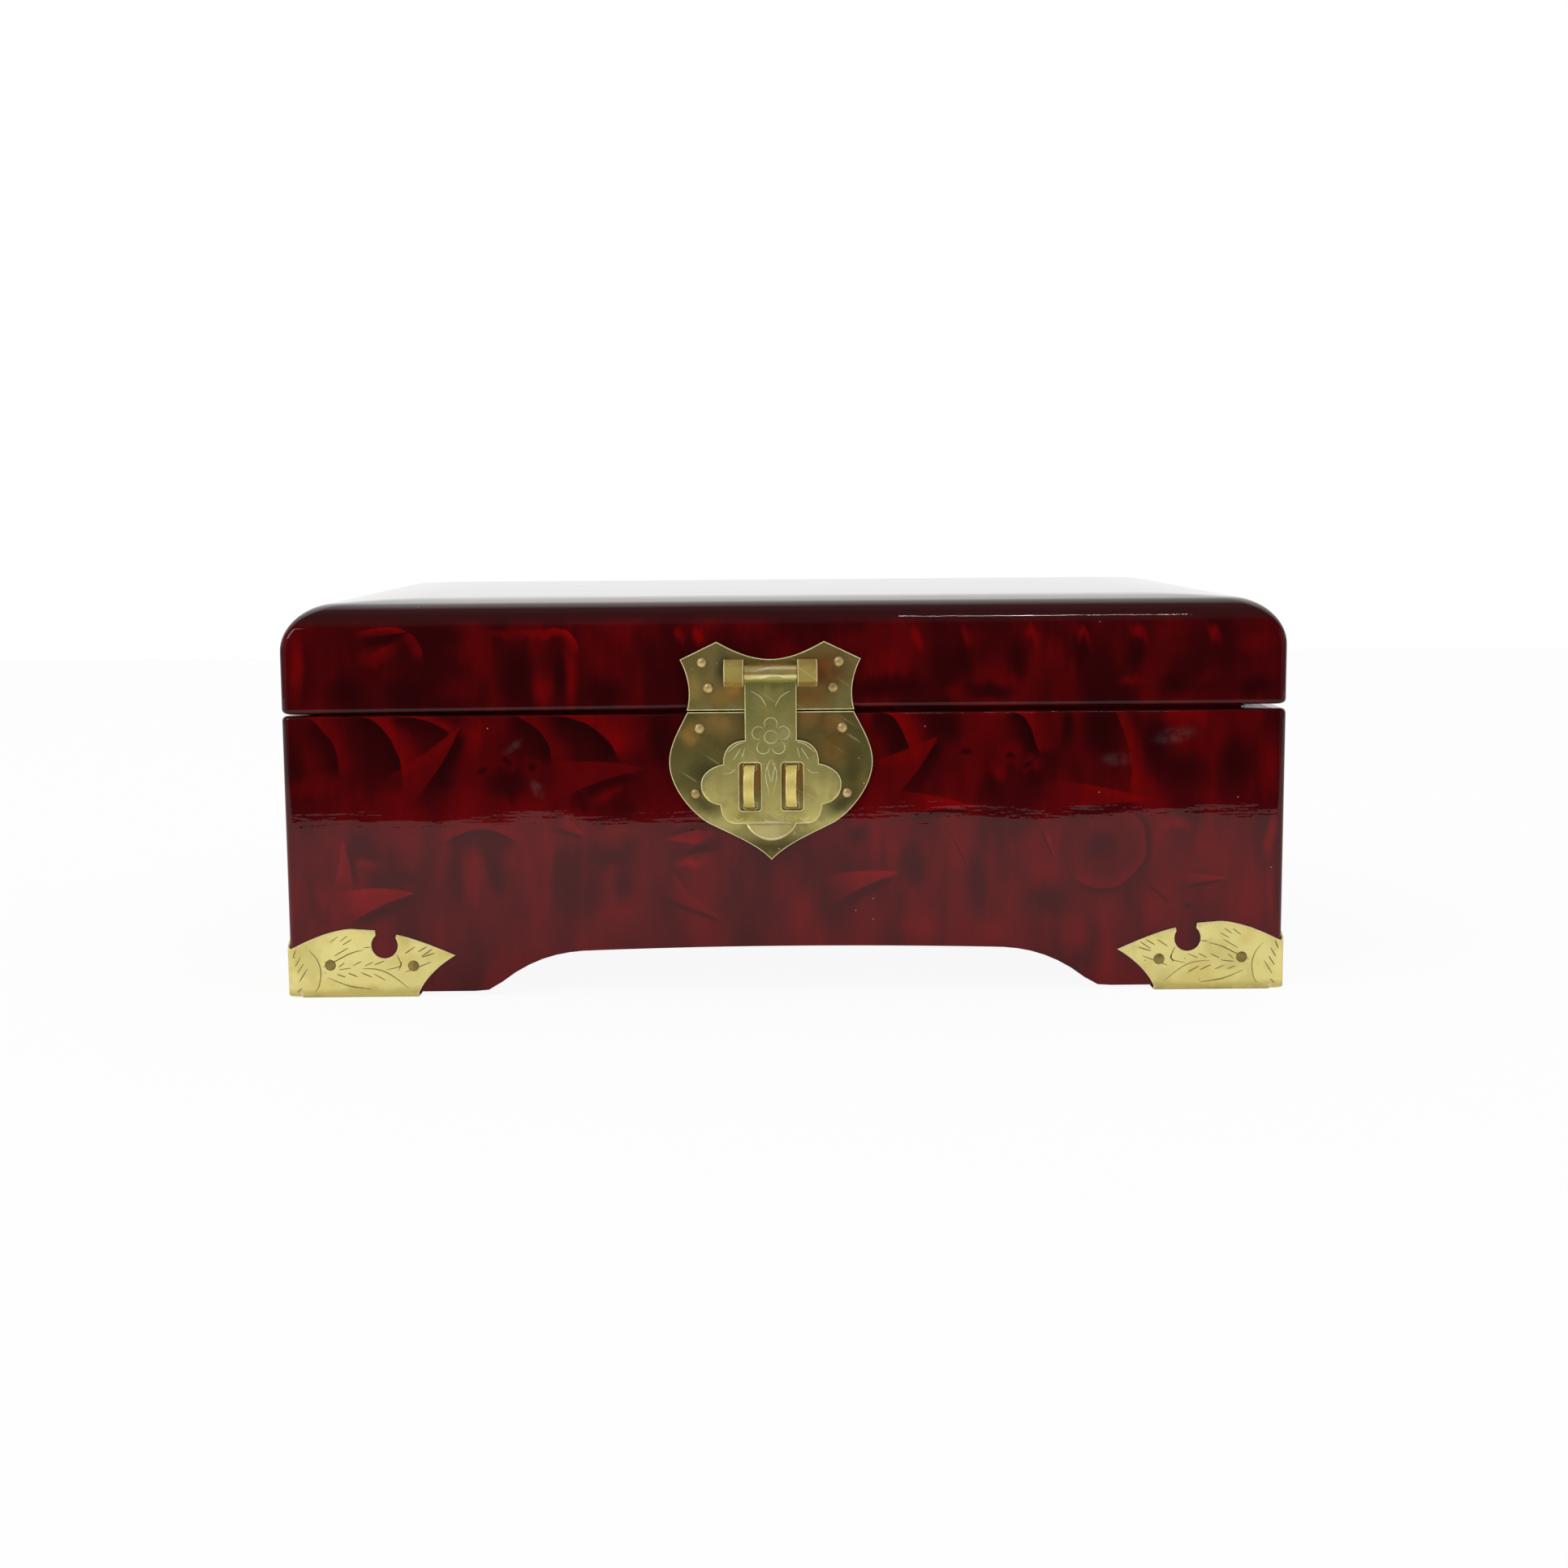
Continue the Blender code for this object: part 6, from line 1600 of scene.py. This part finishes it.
def build_world():
    """White to the camera; to gloss, a pale backdrop behind the box and a dim room before it."""
    g = Graph("studio", "World")
    x, y, z = g.split(g.add("TexCoord").outputs["Generated"])
    aside = g.math("ABSOLUTE", x)
    fade = g.times(g.band(z, 0.04, 0.14, 1.0, 0.76), g.band(z, 0.70, 0.91, 1.0, 0.1))
    backdrop = g.times(g.band(y, 0.10, 0.50), fade)
    ceiling = g.band(z, 0.84, 0.95, 0.0, 0.16)
    window = g.times(g.band(aside, 0.82, 0.94), g.band(z, 0.15, 0.22, 0.0, 0.6), g.band(z, 0.52, 0.45))
    beside = g.times(
        g.band(aside, 0.28, 0.55, 0.0, 0.30), g.band(z, -0.30, 0.05, 0.3, 1.0), g.band(z, 0.75, 0.40))
    lit = g.math("MAXIMUM", backdrop, g.math("MAXIMUM", window, beside))
    room = g.plus(g.plus(lit, ceiling), 0.035)
    path = g.add("LightPath")
    gloss = path.outputs["Is Glossy Ray"]
    shown = g.plus(g.times(gloss, room), g.times(g.minus(1.0, gloss), 0.85))
    shown = g.math("MAXIMUM", shown, path.outputs["Is Camera Ray"])
    background = g.add("Background", Color=(1.0, 1.0, 1.0), Strength=shown)
    bpy.context.scene.world = g.show(background)


def area_light(name, place, target, size, power):
    light = bpy.data.lights.new(name, "AREA")
    light.shape = "RECTANGLE"
    light.size, light.size_y = size
    light.energy = power
    lamp = bpy.data.objects.new(name, light)
    bpy.context.scene.collection.objects.link(lamp)
    lamp.location = place
    lamp.rotation_euler = (Vector(target) - Vector(place)).to_track_quat("-Z", "Y").to_euler()


def build_lights():
    """A thin strip over the box that draws the bright line on its edges, and soft fill."""
    area_light("strip", (0.19, -0.245, 1.05), (0.19, -0.085, 0.0), size=(0.20, 0.003), power=0.3)
    area_light("soft_key", (-0.9, -0.9, 1.3), (0.0, 0.0, 0.05), size=(0.7, 0.7), power=6.0)


def build_camera():
    camera = bpy.data.cameras.new("camera")
    camera.sensor_width = SENSOR
    camera.lens = FOCAL_PIXELS / PHOTO_PIXELS * SENSOR
    viewer = bpy.data.objects.new("camera", camera)
    bpy.context.scene.collection.objects.link(viewer)
    turn = Matrix.Rotation(-math.radians(CAMERA_YAW_DEG), 4, "Z")
    tilt = Matrix.Rotation(math.pi / 2 - math.radians(CAMERA_PITCH_DEG), 4, "X")
    roll = Matrix.Rotation(math.radians(CAMERA_ROLL_DEG), 4, "Z")
    viewer.matrix_world = Matrix.Translation(CAMERA_PLACE) @ turn @ tilt @ roll
    bpy.context.scene.camera = viewer
    bpy.context.scene.view_settings.view_transform = "Standard"


def build_metals():
    """The finishes of each brass piece, in the order body, rims painted pale as a highlight, nails, painted
    shade round the nails, engraving.
    """
    # Worn rims, painted a pale, mostly diffuse brass so that they show as bright lines: wear and painted
    # highlight
    rubbed = trim_material("worn_rim_highlight", (1.0, 0.91, 0.52), (0.88, 0.72, 0.32), 0.32, 0.3)
    nail = trim_material("nail_brass", (0.80, 0.61, 0.27), (0.55, 0.38, 0.14), 0.40, 0.7)
    flush = trim_material("flush_nail_brass", (0.42, 0.29, 0.08), (0.26, 0.18, 0.05), 0.45, 0.6)
    # Painted shade: a dark ring round the foot of each nail
    nail_shade = trim_material("nail_shade", (0.20, 0.13, 0.04), (0.09, 0.055, 0.02), 0.6, 0.4)
    dark_line = trim_material("engraved_dark", (0.13, 0.10, 0.03), (0.24, 0.19, 0.055), 0.5, 0.2)
    light_line = trim_material("engraved_light", (0.88, 0.84, 0.50), (0.66, 0.60, 0.28), 0.4, 0.4)
    corner = brass_material(
        "corner_brass", (1.0, 0.87, 0.33), (0.95, 0.80, 0.27), (0.74, 0.61, 0.18), 0.30, 0.82, 0.22,
        [(0.0030, 0.0008, (0.72, 0.60, 0.20))])
    # Painted reflection: the lower plate turns lighter and yellower low down, standing in for the pale table
    # it reflects, then darker along its lowest edge
    lower = brass_material(
        "lower_plate_brass", (0.27, 0.22, 0.065), (0.19, 0.16, 0.045), (0.22, 0.14, 0.04), 0.27, 0.8, 0.5,
        [(0.054, 0.043, (0.60, 0.52, 0.18)), (0.0430, 0.0375, (0.17, 0.13, 0.04))], LOWER_STAINS)
    upper = brass_material(
        "upper_plate_brass", (0.44, 0.37, 0.13), (0.34, 0.26, 0.08), (0.30, 0.18, 0.05), 0.30, 0.8, 0.5,
        (), UPPER_STAINS)
    # Painted light on the hasp: the strap turns lighter and yellower low down as a painted reflection of the
    # pale table, and the tab and the roll are painted brighter, as lit
    hasp = brass_material(
        "hasp_brass", (0.48, 0.45, 0.14), (0.40, 0.37, 0.11), (0.40, 0.28, 0.08), 0.28, 0.8, 0.4,
        [(0.0735, 0.0640, (0.60, 0.54, 0.18)), (0.0600, 0.0480, (0.76, 0.65, 0.21)),
         (0.0440, 0.0430, (1.00, 0.86, 0.34)), (0.0795, 0.0806, (0.95, 0.74, 0.26))], HASP_STAINS_AND_HIGHLIGHTS)
    bright = brass_material(
        "bright_brass", (1.0, 0.84, 0.27), (0.86, 0.68, 0.19), (0.50, 0.30, 0.08), 0.36, 0.5, 0.4)
    lug = brass_material(
        "lug_brass", (0.64, 0.48, 0.13), (0.52, 0.38, 0.10), (0.36, 0.22, 0.06), 0.36, 0.6, 0.5)
    trims = [rubbed, nail, nail_shade]
    return {
        "corner": [corner, rubbed, flush, nail_shade, dark_line],
        "lower": [lower, *trims],
        "upper": [upper, *trims],
        "hasp": [hasp, *trims, light_line],
        "bright": [bright, *trims],
        "lug": [lug, *trims],
    }


def main():
    build_camera()
    build_stage()
    build_world()
    build_lights()
    lacquer = lacquer_material()
    build_base_shell([lacquer, lacquer_material("left"), lacquer_material("right")])
    build_lid_shell([lacquer, lacquer_material("lid")])
    metals = build_metals()
    build_corner_mounts(metals["corner"])
    build_lock(metals)
    build_hasp(metals["hasp"])
    build_rear_hinges(metals["corner"])
    lining = cloth_material("lining_cloth", (0.16, 0.004, 0.008), (0.38, 0.012, 0.020), 0.0008, 0.5)
    velvet = cloth_material("ring_velvet", (0.13, 0.003, 0.006), (0.36, 0.010, 0.018), 0.0006, 0.7)
    build_lining(lining)
    build_tray(lining, velvet)
    frame_wood = wood_material("frame_wood", (0.10, 0.010, 0.008), (0.045, 0.004, 0.004), 0.22, 0.8)
    card = cloth_material("backing_card", (0.20, 0.15, 0.10), (0.30, 0.24, 0.17), 0.0012, 0.3)
    build_mirror(frame_wood, card, mirror_material())
    board = wood_material("bare_wood", (0.42, 0.26, 0.13), (0.30, 0.17, 0.08), 0.6)
    add_slab("bottom_panel", "bottom_board", "base", board, edge=0.0004, corner=0.0010)


main()
